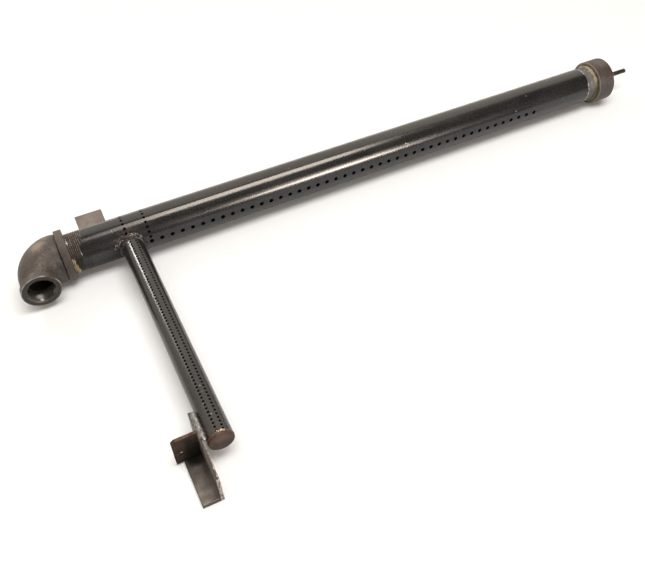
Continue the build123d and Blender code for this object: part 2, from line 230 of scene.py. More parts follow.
class Graph:
    """Builds the nodes of one finish on Object coordinates."""

    def __init__(self, name: str) -> None:
        """Starts an empty material.

        Args:
            name: the material's name.
        """
        self.material = bpy.data.materials.new(name)
        self.material.use_nodes = True
        self.tree = self.material.node_tree
        self.tree.nodes.clear()
        self.place = self.add("ShaderNodeTexCoord").outputs["Object"]
        parts = self.add("ShaderNodeSeparateXYZ")
        self.tree.links.new(self.place, parts.inputs[0])
        self.x, self.y, self.z = parts.outputs

    def add(self, kind: str, **settings: object) -> Node:
        """Adds a node and sets its properties.

        Args:
            kind: the node's type name.
            **settings: properties of the node.

        Returns:
            The node.
        """
        node = self.tree.nodes.new(kind)
        for name, value in settings.items():
            setattr(node, name, value)
        return node

    def feed(self, socket: NodeSocket, value: object) -> None:
        """Links a socket to another, or sets its value.

        Args:
            socket: the input socket.
            value: an output socket, a number or a colour.
        """
        if isinstance(value, NodeSocket):
            self.tree.links.new(value, socket)
        elif isinstance(value, tuple) and len(value) == 3 and socket.type == "RGBA":
            socket.default_value = (*value, 1.0)
        else:
            socket.default_value = value

    def math(self, operation: str, *values: object) -> NodeSocket:
        """One step of arithmetic.

        Args:
            operation: the Math node's operation.
            *values: its inputs, sockets or numbers.

        Returns:
            The result.
        """
        node = self.add("ShaderNodeMath", operation=operation)
        for socket, value in zip(node.inputs, values):
            self.feed(socket, value)
        return node.outputs[0]

    def times(self, first: object, second: object) -> NodeSocket:
        """The product of two values."""
        return self.math("MULTIPLY", first, second)

    def plus(self, first: object, second: object) -> NodeSocket:
        """The sum of two values."""
        return self.math("ADD", first, second)

    def minus(self, first: object, second: object) -> NodeSocket:
        """The first value less the second."""
        return self.math("SUBTRACT", first, second)

    def higher(self, first: object, second: object) -> NodeSocket:
        """The higher of two values."""
        return self.math("MAXIMUM", first, second)

    def ramp(self, value: object, factor: object, start: object) -> NodeSocket:
        """A value times a factor, on top of a start."""
        return self.math("MULTIPLY_ADD", value, factor, start)

    def long_side(self, first: NodeSocket, second: NodeSocket) -> NodeSocket:
        """The distance that two distances at right angles make."""
        return self.math("SQRT", self.plus(self.times(first, first), self.times(second, second)))

    def distance(self, at: Vector) -> NodeSocket:
        """Distance of the surface from a point.

        Args:
            at: the point.

        Returns:
            The distance.
        """
        node = self.add("ShaderNodeVectorMath", operation="DISTANCE")
        self.feed(node.inputs[0], self.place)
        node.inputs[1].default_value = at
        return node.outputs["Value"]

    def lay(self, colour: object, over: object, mask: NodeSocket, share: object) -> NodeSocket:
        """Lays a colour over another where a mask is, as strongly as the share says."""
        return self.mix(self.times(mask, share), colour, over)

    def fade(self, value: object, low: float, high: float) -> NodeSocket:
        """A smooth rise from 0 at low to 1 at high, or a fall where low is the larger.

        Args:
            value: what is read.
            low: where the mask is 0.
            high: where it is 1.

        Returns:
            The mask.
        """
        node = self.add("ShaderNodeMapRange", interpolation_type="SMOOTHSTEP")
        turned = low > high
        self.feed(node.inputs["Value"], value)
        self.feed(node.inputs["From Min"], min(low, high))
        self.feed(node.inputs["From Max"], max(low, high))
        self.feed(node.inputs["To Min"], 1.0 if turned else 0.0)
        self.feed(node.inputs["To Max"], 0.0 if turned else 1.0)
        return node.outputs["Result"]

    def band(self, value: NodeSocket, start: float, end: float, soft: float) -> NodeSocket:
        """A mask that is 1 between two values.

        Args:
            value: what is compared.
            start: the lower edge.
            end: the upper edge.
            soft: how far each edge takes to fade.

        Returns:
            The mask.
        """
        rise = self.fade(value, start - soft, start + soft)
        fall = self.fade(value, end + soft, end - soft)
        return self.times(rise, fall)

    def noise(
        self,
        scale: float,
        stretch: Colour = (1.0, 1.0, 1.0),
        detail: float = 3.0,
        rough: float = 0.55,
        shift: float = 0.0,
    ) -> NodeSocket:
        """Fractal noise, the same from every side.

        Args:
            scale: features per metre.
            stretch: factors on X, Y and Z; a small one draws the noise out that way.
            detail: octaves.
            rough: strength of the finer octaves.
            shift: moves the pattern, so that two noises differ.

        Returns:
            The noise, about 0.5 on average.
        """
        mapping = self.add("ShaderNodeMapping")
        self.feed(mapping.inputs["Vector"], self.place)
        mapping.inputs["Scale"].default_value = stretch
        mapping.inputs["Location"].default_value = (shift, 0.7 * shift, 1.3 * shift)
        node = self.add("ShaderNodeTexNoise")
        self.feed(node.inputs["Vector"], mapping.outputs[0])
        self.feed(node.inputs["Scale"], scale)
        self.feed(node.inputs["Detail"], detail)
        self.feed(node.inputs["Roughness"], rough)
        return node.outputs["Fac"]

    def mix(self, factor: object, first: object, second: object) -> NodeSocket:
        """Mixes two colours.

        Args:
            factor: 0 gives the first and 1 the second.
            first: a colour or a socket.
            second: a colour or a socket.

        Returns:
            The mixed colour.
        """
        node = self.add("ShaderNodeMix", data_type="RGBA")
        self.feed(node.inputs["Factor"], factor)
        self.feed(node.inputs[6], first)
        self.feed(node.inputs[7], second)
        return node.outputs[2]

    def from_axis(self, first: NodeSocket, second: NodeSocket, at: tuple[float, float]) -> NodeSocket:
        """Distance of the surface from a line along an axis.

        Args:
            first: one coordinate across the line.
            second: the other.
            at: the line's place in those coordinates.

        Returns:
            The distance.
        """
        return self.long_side(self.minus(first, at[0]), self.minus(second, at[1]))

    def spot(self, at: Vector, radius: float, soft: float) -> NodeSocket:
        """A round mask about a point.

        Args:
            at: the point.
            radius: where the mask is half gone.
            soft: how far its edge takes to fade.

        Returns:
            The mask.
        """
        return self.fade(self.distance(at), radius + soft, radius - soft)

    def patched(self, colour: NodeSocket, patches: tuple[Patch, ...]) -> NodeSocket:
        """Lays patches over a colour.

        Args:
            colour: the colour beneath.
            patches: the patches, the last on top.

        Returns:
            The patched colour.
        """
        for patch in patches:
            reach = self.distance(patch.at)
            if patch.ragged:
                torn = self.minus(self.noise(0.9 / patch.radius, detail=5.0, rough=0.65), 0.5)
                reach = self.ramp(torn, patch.ragged, reach)
            mask = self.fade(reach, patch.radius + patch.soft, patch.radius - patch.soft)
            colour = self.lay(colour, patch.colour, mask, patch.share)
        return colour

    def lined(self, colour: NodeSocket, lines: tuple[Line, ...],
              across: dict[str, NodeSocket]) -> NodeSocket:
        """Lays lines over a colour.

        Args:
            colour: the colour beneath.
            lines: the lines, the last on top.
            across: the coordinates that the lines name.

        Returns:
            The lined colour.
        """
        for line in lines:
            mask = self.band(across[line.across], line.start, line.end, line.soft)
            if line.broken:
                mask = self.times(mask, self.fade(self.noise(line.broken, detail=3.0), 0.38, 0.58))
            colour = self.lay(colour, line.colour, mask, line.share)
        return colour

    def surface(
        self,
        colour: object,
        roughness: object,
        height: NodeSocket,
        relief: float,
        metallic: float = 0.0,
        reflectance: object = 0.5,
    ) -> Material:
        """Ends the graph in a Principled surface.

        Args:
            colour: base colour.
            roughness: roughness.
            height: the relief's height, 0 to 1.
            relief: how high the relief is at 1, in metres.
            metallic: metallic share.
            reflectance: strength of the mirrored light, 0.5 for most materials.

        Returns:
            The finished material.
        """
        shader = self.add("ShaderNodeBsdfPrincipled")
        bump = self.add("ShaderNodeBump")
        bump.inputs["Distance"].default_value = relief
        bump.inputs["Strength"].default_value = 1.0
        self.feed(bump.inputs["Height"], height)
        self.feed(shader.inputs["Base Color"], colour)
        self.feed(shader.inputs["Roughness"], roughness)
        self.feed(shader.inputs["Normal"], bump.outputs[0])
        shader.inputs["Metallic"].default_value = metallic
        self.feed(shader.inputs["Specular IOR Level"], reflectance)
        out = self.add("ShaderNodeOutputMaterial")
        self.feed(out.inputs["Surface"], shader.outputs[0])
        return self.material


# ============================================================ finishes
@dataclass(frozen=True)
class BlackPipe:
    """Black steel pipe: mill scale with drawn grain, scuffs, heat tint, soot, bare threads, a painted
    highlight at the step of the cap thread, and painted shade inside.
    """

    name: str
    along: Axis
    places: Places
    scale_dark: Colour = (0.0095, 0.0092, 0.0092)
    scale_light: Colour = (0.023, 0.0215, 0.0205)
    tint: Colour = (0.056, 0.028, 0.024)
    bare: Colour = (0.27, 0.25, 0.24)
    oiled: Colour = (0.045, 0.033, 0.027)
    scuff: Colour = (0.16, 0.15, 0.145)
    chalk: Colour = (0.42, 0.4, 0.37)
    rust: Colour = (0.085, 0.046, 0.03)
    soot: Colour = (0.0035, 0.0033, 0.003)
    grit_light: Colour = (0.036, 0.034, 0.033)
    # Pale colour painted as a highlight on the edge where the cap thread's cut starts.
    shoulder_highlight: Colour = (0.75, 0.73, 0.7)

    def grain(self, across: float, lengthways: float) -> Colour:
        """Stretch factors that draw noise out along the pipe."""
        return tuple(lengthways if part else across for part in self.along.value)

    def depth(self, graph: Graph) -> NodeSocket:
        """How far a point lies below the tube's outer surface.

        Args:
            graph: the finish's graph.

        Returns:
            The depth.
        """
        pipe, branch = self.places.pipe, self.places.branch
        if self.along is Axis.X:
            return graph.minus(pipe.radius, graph.from_axis(graph.y, graph.z, (pipe.centre.y, 0.0)))
        return graph.minus(branch.radius, graph.from_axis(graph.x, graph.z, (branch.centre.x, 0.0)))

    def tint_mask(self, graph: Graph) -> NodeSocket:
        """Where the saddle weld and the end weld have tinted the scale.

        Args:
            graph: the finish's graph.

        Returns:
            The mask.
        """
        branch, pipe = self.places.branch, self.places.pipe
        ragged = graph.times(graph.noise(130.0, shift=3.0), 14 * MM)
        if self.along is Axis.Y:
            foot = graph.fade(graph.minus(graph.y, ragged), pipe.centre.y - 46 * MM, pipe.centre.y - 30 * MM)
            tip = graph.fade(graph.plus(graph.y, ragged), branch.start + 26 * MM, branch.start + 10 * MM)
            return graph.higher(foot, tip)
        ring = graph.plus(graph.from_axis(graph.x, graph.z, (branch.centre.x, 0.0)), ragged)
        near = graph.times(graph.fade(ring, 34 * MM, 22 * MM), graph.fade(graph.z, 6 * MM, 16 * MM))
        front = graph.fade(graph.y, pipe.centre.y - 4 * MM, pipe.centre.y - 9 * MM)
        left = graph.fade(graph.x, branch.centre.x + 14 * MM, branch.centre.x - 2 * MM)
        return graph.times(graph.times(near, front), graph.ramp(left, 0.75, 0.25))

    def port_soot(self, graph: Graph) -> NodeSocket:
        """The burnt rings round the mouths of the ports.

        Args:
            graph: the finish's graph.

        Returns:
            The mask.
        """
        pipe, branch = self.places.pipe, self.places.branch
        if self.along is Axis.Y:
            rows = []
            for angle in BRANCH_ROWS:
                at = self.places.on_branch(0.0, angle)
                rows.append(self.port_row(graph, graph.y, branch.start + 2.2 * MM, BRANCH_PORT_PITCH,
                                          BRANCH_PORTS, 1.32 * MM, (graph.x, graph.z), (at.x, at.z)))
            return graph.higher(*rows)
        front = self.places.on_pipe(0.0, 90.0)
        first = branch.centre.x + FIRST_PORT
        found = self.port_row(graph, graph.x, first, PORT_PITCH, PORTS, 2.7 * MM,
                              (graph.y, graph.z), (front.y, front.z))
        angle = graph.math("ARCTAN2", graph.minus(pipe.centre.y, graph.y), graph.z)
        step = math.radians(RING_STEP)
        for along, last in ((first, 75.0), (first - 2 * PORT_PITCH, 45.0)):
            off = graph.times(graph.math("PINGPONG", angle, step / 2), pipe.radius)
            aside = graph.minus(graph.x, along)
            reach = graph.long_side(off, aside)
            ring = graph.fade(reach, 1.85 * MM, 1.55 * MM)
            shown = graph.band(angle, math.radians(-82.5), math.radians(last) + step / 2, 0.001)
            found = graph.higher(found, graph.times(ring, shown))
        return found

    def port_row(
        self,
        graph: Graph,
        along: NodeSocket,
        first: float,
        pitch: float,
        count: int,
        radius: float,
        across: tuple[NodeSocket, NodeSocket],
        line: tuple[float, float],
    ) -> NodeSocket:
        """The burnt rings of one row of ports.

        Args:
            graph: the finish's graph.
            along: the coordinate that the row runs in.
            first: where the first port is.
            pitch: distance between the ports.
            count: number of ports.
            radius: the ring's outer radius.
            across: the two coordinates across the row.
            line: the row's place in those coordinates.

        Returns:
            The mask.
        """
        off = graph.math("PINGPONG", graph.minus(along, first), pitch / 2)
        aside = graph.from_axis(*across, line)
        reach = graph.long_side(off, aside)
        ring = graph.fade(reach, radius + 0.15 * MM, radius - 0.15 * MM)
        shown = graph.band(along, first - pitch / 2, first + (count - 0.5) * pitch, 0.01 * MM)
        return graph.times(ring, shown)

    def marks(self, graph: Graph) -> NodeSocket:
        """Knocks and specks of dried paste on the scale.

        Args:
            graph: the finish's graph.

        Returns:
            The mask.
        """
        on_pipe, on_branch = self.places.on_pipe, self.places.on_branch
        if self.along is Axis.X:
            spots = [
                (on_pipe(0.664, 65.0), 0.9), (on_pipe(0.687, 26.0), 0.7), (on_pipe(0.734, -12.0), 0.8),
                (on_pipe(0.327, 9.0), 0.45), (on_pipe(0.095, 27.0), 0.7), (on_pipe(0.572, 66.0), 0.5),
                (on_pipe(0.602, 61.0), 0.35), (on_pipe(0.43, 31.0), 0.4), (on_pipe(0.148, -8.0), 0.4),
            ]
        else:
            spots = [
                (on_branch(-0.043, -1.0), 0.7), (on_branch(-0.012, 1.0), 0.5), (on_branch(-0.25, 0.0), 0.8),
                (on_branch(-0.214, 7.0), 0.7), (on_branch(-0.222, 3.0), 0.6),
                (on_branch(-0.236, -14.0), 0.6),
            ]
        found = None
        for at, size in spots:
            spot = graph.spot(at, size * MM, 0.5 * size * MM)
            found = spot if found is None else graph.higher(found, spot)
        broken = graph.fade(graph.noise(1100.0, shift=8.0), 0.35, 0.6)
        return graph.times(graph.times(found, broken), 0.85)

    def material(self) -> Material:
        """Builds the finish.

        Returns:
            The material.
        """
        graph = Graph(self.name)
        drawn = graph.noise(1.0, self.grain(420.0, 9.0), detail=4.0)
        cloud = graph.noise(34.0, self.grain(1.0, 0.35), detail=4.0, rough=0.6, shift=1.0)
        fine = graph.noise(1500.0, detail=2.0, shift=2.0)
        scratches = graph.fade(graph.noise(1.0, self.grain(1100.0, 22.0), detail=2.0, shift=5.0), 0.66, 0.78)
        worn = graph.fade(graph.noise(16.0, shift=6.0), 0.5, 0.7)
        scratches = graph.times(scratches, worn)
        colour = graph.mix(graph.fade(cloud, 0.3, 0.7), self.scale_dark, self.scale_light)
        colour = graph.lay(colour, self.scale_light, graph.fade(drawn, 0.45, 0.75), 0.5)
        grit = graph.noise(560.0, detail=2.0, rough=0.7, shift=12.0)
        colour = graph.lay(colour, self.grit_light, graph.fade(grit, 0.5, 0.7), 0.55)
        colour = graph.lay(colour, self.soot, graph.fade(grit, 0.46, 0.3), 0.7)
        tint = graph.times(self.tint_mask(graph), graph.fade(cloud, 0.25, 0.7))
        tint = graph.times(tint, graph.fade(graph.noise(330.0, detail=3.0, shift=18.0), 0.4, 0.6))
        colour = graph.lay(colour, self.tint, tint, 0.9)
        rusted = graph.fade(graph.noise(75.0, detail=5.0, shift=9.0), 0.66, 0.8)
        colour = graph.lay(colour, self.rust, rusted, 0.4)
        colour = graph.lay(colour, self.scuff, scratches, 0.3)
        colour = graph.mix(self.marks(graph), colour, self.chalk)
        rough = graph.ramp(cloud, 0.12, 0.15)
        rough = graph.plus(rough, graph.times(tint, 0.25))
        depth = self.depth(graph)
        if self.along is Axis.X:
            pipe = self.places.pipe
            step = pipe.end - CAP_THREAD
            first = uncut_front(graph, pipe.centre.y, pipe.start + INLET_THREAD, -1.0)
            last = graph.fade(graph.x, step - 0.5 * MM, step + 0.3 * MM)
            brown = graph.mix(cloud, self.rust, self.oiled)
            # Scale-dark low down and browner on top across the thread zone: oil and rust, darkened low down
            # as painted shade.
            brown = graph.mix(graph.fade(graph.z, -12 * MM, 12 * MM), self.scale_light, brown)
            colour = graph.mix(first, colour, brown)
            half_bare = graph.mix(0.5, self.oiled, self.bare)
            colour = graph.mix(last, colour, graph.mix(graph.fade(drawn, 0.42, 0.6), half_bare, self.bare))
            # A narrow pale band along that edge: a painted highlight.
            shoulder_highlight = graph.band(graph.x, step - 0.7 * MM, step + 0.5 * MM, 0.15 * MM)
            shoulder_highlight = graph.times(shoulder_highlight, graph.fade(graph.noise(170.0, shift=15.0), 0.42, 0.55))
            colour = graph.mix(shoulder_highlight, colour, self.shoulder_highlight)
            threaded = graph.higher(first, last)
            rough = graph.plus(rough, graph.times(threaded, 0.2))
            cut = graph.fade(graph.math("ABSOLUTE", graph.minus(graph.x, pipe.centre.x)), 0.35, 0.36)
            depth = graph.minus(depth, graph.times(cut, 1.0 * MM))
        # Inside the bore and down the port walls the surface is painted soot-black and matt: partly soot,
        # partly painted shade where the holes look dark.
        inside = graph.fade(depth, 0.08 * MM, 0.3 * MM)
        soot_and_shade = graph.higher(inside, self.port_soot(graph))
        colour = graph.mix(soot_and_shade, colour, self.soot)
        rough = graph.higher(rough, graph.times(soot_and_shade, 0.95))
        height = graph.plus(graph.times(drawn, 0.35), graph.times(fine, 0.1))
        height = graph.plus(height, graph.times(cloud, 1.6))
        gloss = scale_gloss(graph)
        if self.along is Axis.X:
            gloss = graph.times(gloss, front_shade_dulling(graph))
        gloss = graph.times(gloss, graph.minus(1.0, soot_and_shade))
        return graph.surface(colour, rough, height, relief=0.05 * MM, reflectance=gloss)


def uncut_front(graph: Graph, middle: float, end: float, side: float = 1.0) -> NodeSocket:
    """Where the main pipe's surface lies past the slanting end of the thread at the elbow.

    Args:
        graph: the finish's graph.
        middle: the pipe axis's place on Y.
        end: where the thread ends on the far side.
        side: minus one gives the threaded side instead.

    Returns:
        The mask.
    """
    forward = graph.higher(graph.minus(middle + SLANT_FROM, graph.y), 0.0)
    along = graph.ramp(forward, SLANT, graph.x)
    return graph.fade(along, end - side * 0.6 * MM, end + side * 0.6 * MM)


def scale_gloss(graph: Graph) -> NodeSocket:
    """How strongly the scale mirrors, which is less low on a tube, so the floor mirrored there looks darker:
    painted shade in the reflection.
    """
    return graph.ramp(graph.fade(graph.z, -13 * MM, -3 * MM), 0.3, 0.2)


def front_shade_dulling(graph: Graph) -> NodeSocket:
    """What is left of the gloss low on the main pipe's front beside the elbow: dulled there as painted
    shade, so the floor mirrored there looks darker.
    """
    low = graph.times(graph.fade(graph.z, 4 * MM, -8 * MM), graph.fade(graph.x, 128 * MM, 108 * MM))
    return graph.ramp(low, -0.7, 1.0)


@dataclass(frozen=True)
class CutThread:
    """A cut thread: worn pale on its crests, with that pale painted mostly on top as a highlight, oily and
    dark in its roots, and darker low down as painted shade.
    """

    name: str
    axis_height: float
    root: float
    crest: float
    dark: Colour = (0.007, 0.0055, 0.005)
    pale: Colour = (0.24, 0.195, 0.16)
    rust: Colour = (0.04, 0.026, 0.019)
    # Heights over which the pale crests come in towards the top: a painted highlight from above.
    top_highlight_from: tuple[float, float] = (6 * MM, 22 * MM)
    reflectance: float = 0.3
    streaked: float = 0.0
    slanting_end: float | None = None
    scale: Colour = (0.0165, 0.0152, 0.0146)

    def material(self) -> Material:
        """Builds the finish.

        Returns:
            The material.
        """
        graph = Graph(self.name)
        reach = graph.from_axis(graph.y, graph.z, (self.axis_height, 0.0))
        cloud = graph.noise(90.0, detail=4.0, rough=0.6)
        nicks = graph.noise(480.0, detail=4.0, rough=0.65, shift=5.0)
        crest_wear_and_highlight = graph.fade(reach, self.root + 0.25 * MM, self.crest)
        crest_wear_and_highlight = graph.times(crest_wear_and_highlight, graph.fade(nicks, 0.38, 0.58))
        # Pale crests mostly on top: a painted highlight from above over the wear.
        crest_wear_and_highlight = graph.times(crest_wear_and_highlight, graph.ramp(graph.fade(graph.z, *self.top_highlight_from), 0.92, 0.08))
        # Rust brown only on the upper part, so the lower part stays dark: painted shade low down over real
        # rust.
        rust_and_top_light = graph.times(graph.fade(cloud, 0.35, 0.7), graph.fade(graph.z, -14 * MM, 10 * MM))
        colour = graph.mix(rust_and_top_light, self.dark, self.rust)
        if self.streaked:
            streak = graph.fade(graph.noise(1.0, (30.0, 260.0, 260.0), detail=3.0, shift=9.0), 0.5, 0.6)
            crest_wear_and_highlight = graph.times(crest_wear_and_highlight, graph.ramp(streak, self.streaked, 1.0 - self.streaked))
        colour = graph.mix(crest_wear_and_highlight, colour, self.pale)
        rough = graph.ramp(cloud, 0.2, 0.42)
        gloss = self.reflectance
        if self.slanting_end is not None:
            uncut = uncut_front(graph, self.axis_height, self.slanting_end)
            colour = graph.mix(uncut, colour, self.scale)
            rough = graph.ramp(uncut, -0.25, rough)
            scaly = graph.times(scale_gloss(graph), front_shade_dulling(graph))
            gloss = graph.ramp(uncut, graph.minus(scaly, self.reflectance), self.reflectance)
        return graph.surface(colour, rough, nicks, relief=0.04 * MM, metallic=0.15, reflectance=gloss)


@dataclass(frozen=True)
class CastSkin:
    """Malleable iron: a dull grainy skin; the pale lines on its edges and the dark lines in its corners are
    painted highlight and painted shade.
    """

    name: str
    dark: Colour = (0.03, 0.0225, 0.0175)
    light: Colour = (0.0828, 0.0639, 0.0504)
    edge: Colour = (0.24, 0.2, 0.165)
    dirt: Colour = (0.01, 0.0075, 0.006)
    rough: float = 0.42

    def material(self, lines: tuple[Line, ...], patches: tuple[Patch, ...], places: Places) -> Material:
        """Builds the finish.

        Args:
            lines: painted highlights on edges and painted shade in corners; besides x, y and z they
            may name mouth, the distance from the inlet's axis on its face.
            patches: worn and dirty areas, and painted highlights.
            places: where the pieces are.

        Returns:
            The material.
        """
        graph = Graph(self.name)
        behind = graph.higher(graph.minus(graph.y, places.inlet_mouth + 0.6 * MM), 0.0)
        mouth = graph.ramp(behind, 60.0, graph.from_axis(graph.x, graph.z, (0.0, 0.0)))
        across = {"x": graph.x, "y": graph.y, "z": graph.z, "mouth": mouth}
        cloud = graph.noise(48.0, detail=5.0, rough=0.6)
        drift = graph.noise(17.0, detail=2.0, shift=11.0)
        sand = graph.noise(800.0, detail=3.0, rough=0.65, shift=4.0)
        pits = graph.fade(graph.noise(420.0, detail=2.0, shift=7.0), 0.45, 0.3)
        colour = graph.mix(graph.fade(cloud, 0.2, 0.74), self.dark, self.light)
        colour = graph.lay(colour, self.dark, graph.fade(drift, 0.42, 0.7), 0.35)
        colour = graph.lay(colour, self.edge, graph.fade(sand, 0.5, 0.72), 0.42)
        colour = graph.lay(colour, self.dirt, pits, 0.75)
        colour = graph.lined(graph.patched(colour, patches), lines, across)
        rough = graph.ramp(cloud, 0.2, self.rough)
        height = graph.plus(graph.times(sand, 0.8), graph.times(cloud, 1.5))
        height = graph.minus(height, pits)
        return graph.surface(colour, rough, height, relief=0.16 * MM, metallic=0.1)


@dataclass(frozen=True)
class RolledSteel:
    """Plain steel plate and angle, hot rolled, with grime and a cut end."""

    name: str
    dark: Colour
    light: Colour
    stain: Colour
    stain_share: float = 0.4
    rough: float = 0.45
    metallic: float = 0.3
    cut: tuple[float, float] | None = None
    cut_beyond: float = 0.0
    cut_colour: Colour = (0.5, 0.44, 0.4)
    reflectance: float = 0.5
    lines: tuple[Line, ...] = ()
    patches: tuple[Patch, ...] = ()

    def material(self) -> Material:
        """Builds the finish.

        Returns:
            The material.
        """
        graph = Graph(self.name)
        cloud = graph.noise(70.0, detail=5.0, rough=0.62)
        blotch = graph.noise(120.0, detail=3.0, shift=3.0)
        grain = graph.noise(1300.0, (1.0, 0.25, 1.0), detail=3.0, shift=6.0)
        colour = graph.mix(graph.fade(cloud, 0.3, 0.7), self.dark, self.light)
        colour = graph.lay(colour, self.light, graph.fade(grain, 0.55, 0.8), 0.3)
        colour = graph.lay(colour, self.stain, graph.fade(blotch, 0.48, 0.66), self.stain_share)
        colour = graph.patched(colour, self.patches)
        colour = graph.lined(colour, self.lines, {"x": graph.x, "y": graph.y, "z": graph.z})
        rough = graph.ramp(cloud, 0.2, self.rough - 0.1)
        height = graph.plus(cloud, graph.times(grain, 0.6))
        if self.cut:
            bare = graph.fade(graph.y, *self.cut)
            bare = graph.times(bare, graph.fade(graph.x, self.cut_beyond - 0.3 * MM, self.cut_beyond))
            torn = graph.noise(700.0, (1.0, 1.0, 0.3), detail=4.0, shift=1.0)
            colour = graph.mix(bare, colour,
                               graph.mix(graph.fade(torn, 0.35, 0.6), self.dark, self.cut_colour))
            height = graph.plus(height, graph.times(graph.times(torn, bare), 4.0))
        return graph.surface(colour, rough, height, relief=0.09 * MM, metallic=self.metallic,
                             reflectance=self.reflectance)


@dataclass(frozen=True)
class WeldMetal:
    """Weld metal: grey ripples with brown heat tint in the hollows."""

    name: str
    bright: Colour = (0.34, 0.335, 0.32)
    dull: Colour = (0.1, 0.09, 0.082)
    tint: Colour = (0.1, 0.05, 0.034)
    tint_share: float = 0.5
    metallic: float = 0.55

    def material(self) -> Material:
        """Builds the finish.

        Returns:
            The material.
        """
        graph = Graph(self.name)
        cloud = graph.noise(260.0, detail=4.0, rough=0.6)
        speck = graph.fade(graph.noise(900.0, detail=2.0, shift=4.0), 0.55, 0.7)
        burnt = graph.fade(graph.noise(150.0, detail=3.0, shift=8.0), 0.42, 0.6)
        colour = graph.mix(graph.fade(cloud, 0.35, 0.65), self.dull, self.bright)
        colour = graph.lay(colour, self.tint, burnt, self.tint_share)
        colour = graph.lay(colour, self.bright, speck, 0.4)
        rough = graph.ramp(cloud, 0.25, 0.28)
        return graph.surface(colour, rough, cloud, relief=0.15 * MM, metallic=self.metallic)


@dataclass(frozen=True)
class Sealant:
    """Dried thread sealant: sandy yellow that dirt has turned olive in places, deeper low down and paler on
    top as painted light from above.
    """

    name: str
    pale: Colour = (0.33, 0.262, 0.175)
    deep: Colour = (0.19, 0.155, 0.085)
    grime: Colour = (0.055, 0.045, 0.024)
    # Heights over which the colour goes from deep to pale: painted shade below and a painted highlight on
    # top.
    turn: tuple[float, float] = (-2 * MM, 21 * MM)
    dirty_from: float | None = None

    def material(self) -> Material:
        """Builds the finish.

        Returns:
            The material.
        """
        graph = Graph(self.name)
        cloud = graph.noise(180.0, detail=4.0, rough=0.6)
        crumbs = graph.noise(1100.0, detail=3.0, shift=3.0)
        # Deep low down and pale on top: painted light from above.
        colour = graph.mix(graph.fade(graph.z, *self.turn), self.deep, self.pale)
        colour = graph.mix(graph.fade(cloud, 0.5, 0.66), colour, self.grime)
        if self.dirty_from is not None:
            upward = graph.fade(graph.z, 4 * MM, 22 * MM)
            along = graph.minus(graph.x, graph.times(upward, 3 * MM))
            dirty = graph.fade(along, self.dirty_from - 0.6 * MM, self.dirty_from + 0.6 * MM)
            share = graph.ramp(graph.fade(graph.z, -14 * MM, -2 * MM), 0.45, 0.4)
            colour = graph.lay(colour, self.grime, dirty, share)
        height = graph.plus(cloud, graph.times(crumbs, 0.6))
        return graph.surface(colour, 0.72, height, relief=0.3 * MM)


@dataclass(frozen=True)
class PinSteel:
    """Drawn rod, dark with handling marks."""

    name: str
    dark: Colour = (0.009, 0.0085, 0.008)
    light: Colour = (0.03, 0.027, 0.025)

    def material(self) -> Material:
        """Builds the finish.

        Returns:
            The material.
        """
        graph = Graph(self.name)
        drawn = graph.noise(1.0, (40.0, 900.0, 900.0), detail=3.0)
        cloud = graph.noise(240.0, detail=3.0, shift=2.0)
        colour = graph.mix(graph.fade(cloud, 0.35, 0.7), self.dark, self.light)
        rough = graph.ramp(cloud, 0.2, 0.34)
        return graph.surface(colour, rough, drawn, relief=0.04 * MM, metallic=0.4)


# ============================================================ piece making
@dataclass
class Workshop:
    """Turns modelled shapes into named pieces that ride on the burner."""

    made: int = 0

    def piece(
        self,
        shape: BMesh,
        name: str,
        finish: Material,
        slot: str,
        stands_for: tuple[str, ...] = (),
    ) -> Object:
        """Closes a shape's modelling and makes it a piece.

        Args:
            shape: the modelled shape, which is freed.
            name: the piece's name.
            finish: its material.
            slot: the record's material slot; not used.
            stands_for: solids that it replaces.

        Returns:
            The piece.
        """
        bmesh.ops.recalc_face_normals(shape, faces=shape.faces[:])
        for face in shape.faces:
            face.smooth = True
        mesh = bpy.data.meshes.new(name)
        shape.to_mesh(mesh)
        shape.free()
        mesh.materials.append(finish)
        made = bpy.data.objects.new(name, mesh)
        bpy.context.scene.collection.objects.link(made)
        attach(made, BODY)
        if stands_for:
            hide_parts(*stands_for)
        self.made += 1
        LOG.info("%s: %d faces", name, len(mesh.polygons))
        return made


def wavering(point: Vector, frequency: float, seed: float = 0.0) -> float:
    """Smooth noise between about -1 and 1.

    Args:
        point: where it is read.
        frequency: features per metre.
        seed: moves the pattern.

    Returns:
        The noise.
    """
    return noise.noise(point * frequency + Vector((seed, 1.7 * seed, -0.6 * seed)))


def facing(direction: Vector) -> Matrix:
    """The turn that brings +Z into a direction."""
    return UP.rotation_difference(direction).to_matrix().to_4x4()


def section(shape: BMesh, sides: int, radius: float, place: Matrix) -> tuple[list[BMVert], list]:
    """Adds a round section.

    Args:
        shape: what it is added to.
        sides: number of its sides.
        radius: its radius.
        place: its place and turn.

    Returns:
        Its vertices, and all its geometry.
    """
    ring = bmesh.ops.create_circle(shape, cap_ends=False, segments=sides, radius=radius,
                                   matrix=place)["verts"]
    return ring, ring + list({edge for vert in ring for edge in vert.link_edges})


def swept(
    shape: BMesh,
    geometry: list,
    centre: Vector,
    axis: Vector,
    angle: float,
    steps: int,
    rise: Vector = Vector((0, 0, 0)),
    closed: bool = False,
) -> list:
    """Sweeps a section round an axis, along it, or both.

    Args:
        shape: what the section belongs to.
        geometry: the section's vertices and edges.
        centre: a point on the axis.
        axis: the axis's direction.
        angle: how far it turns in all.
        steps: number of steps.
        rise: how far each step moves it.
        closed: whether the last step meets the first.

    Returns:
        The geometry that the sweep ends in.
    """
    return bmesh.ops.spin(
        shape, geom=geometry, cent=centre, axis=axis, dvec=rise, angle=angle, steps=steps,
        use_merge=closed, use_normal_flip=False, use_duplicate=False,
    )["geom_last"]


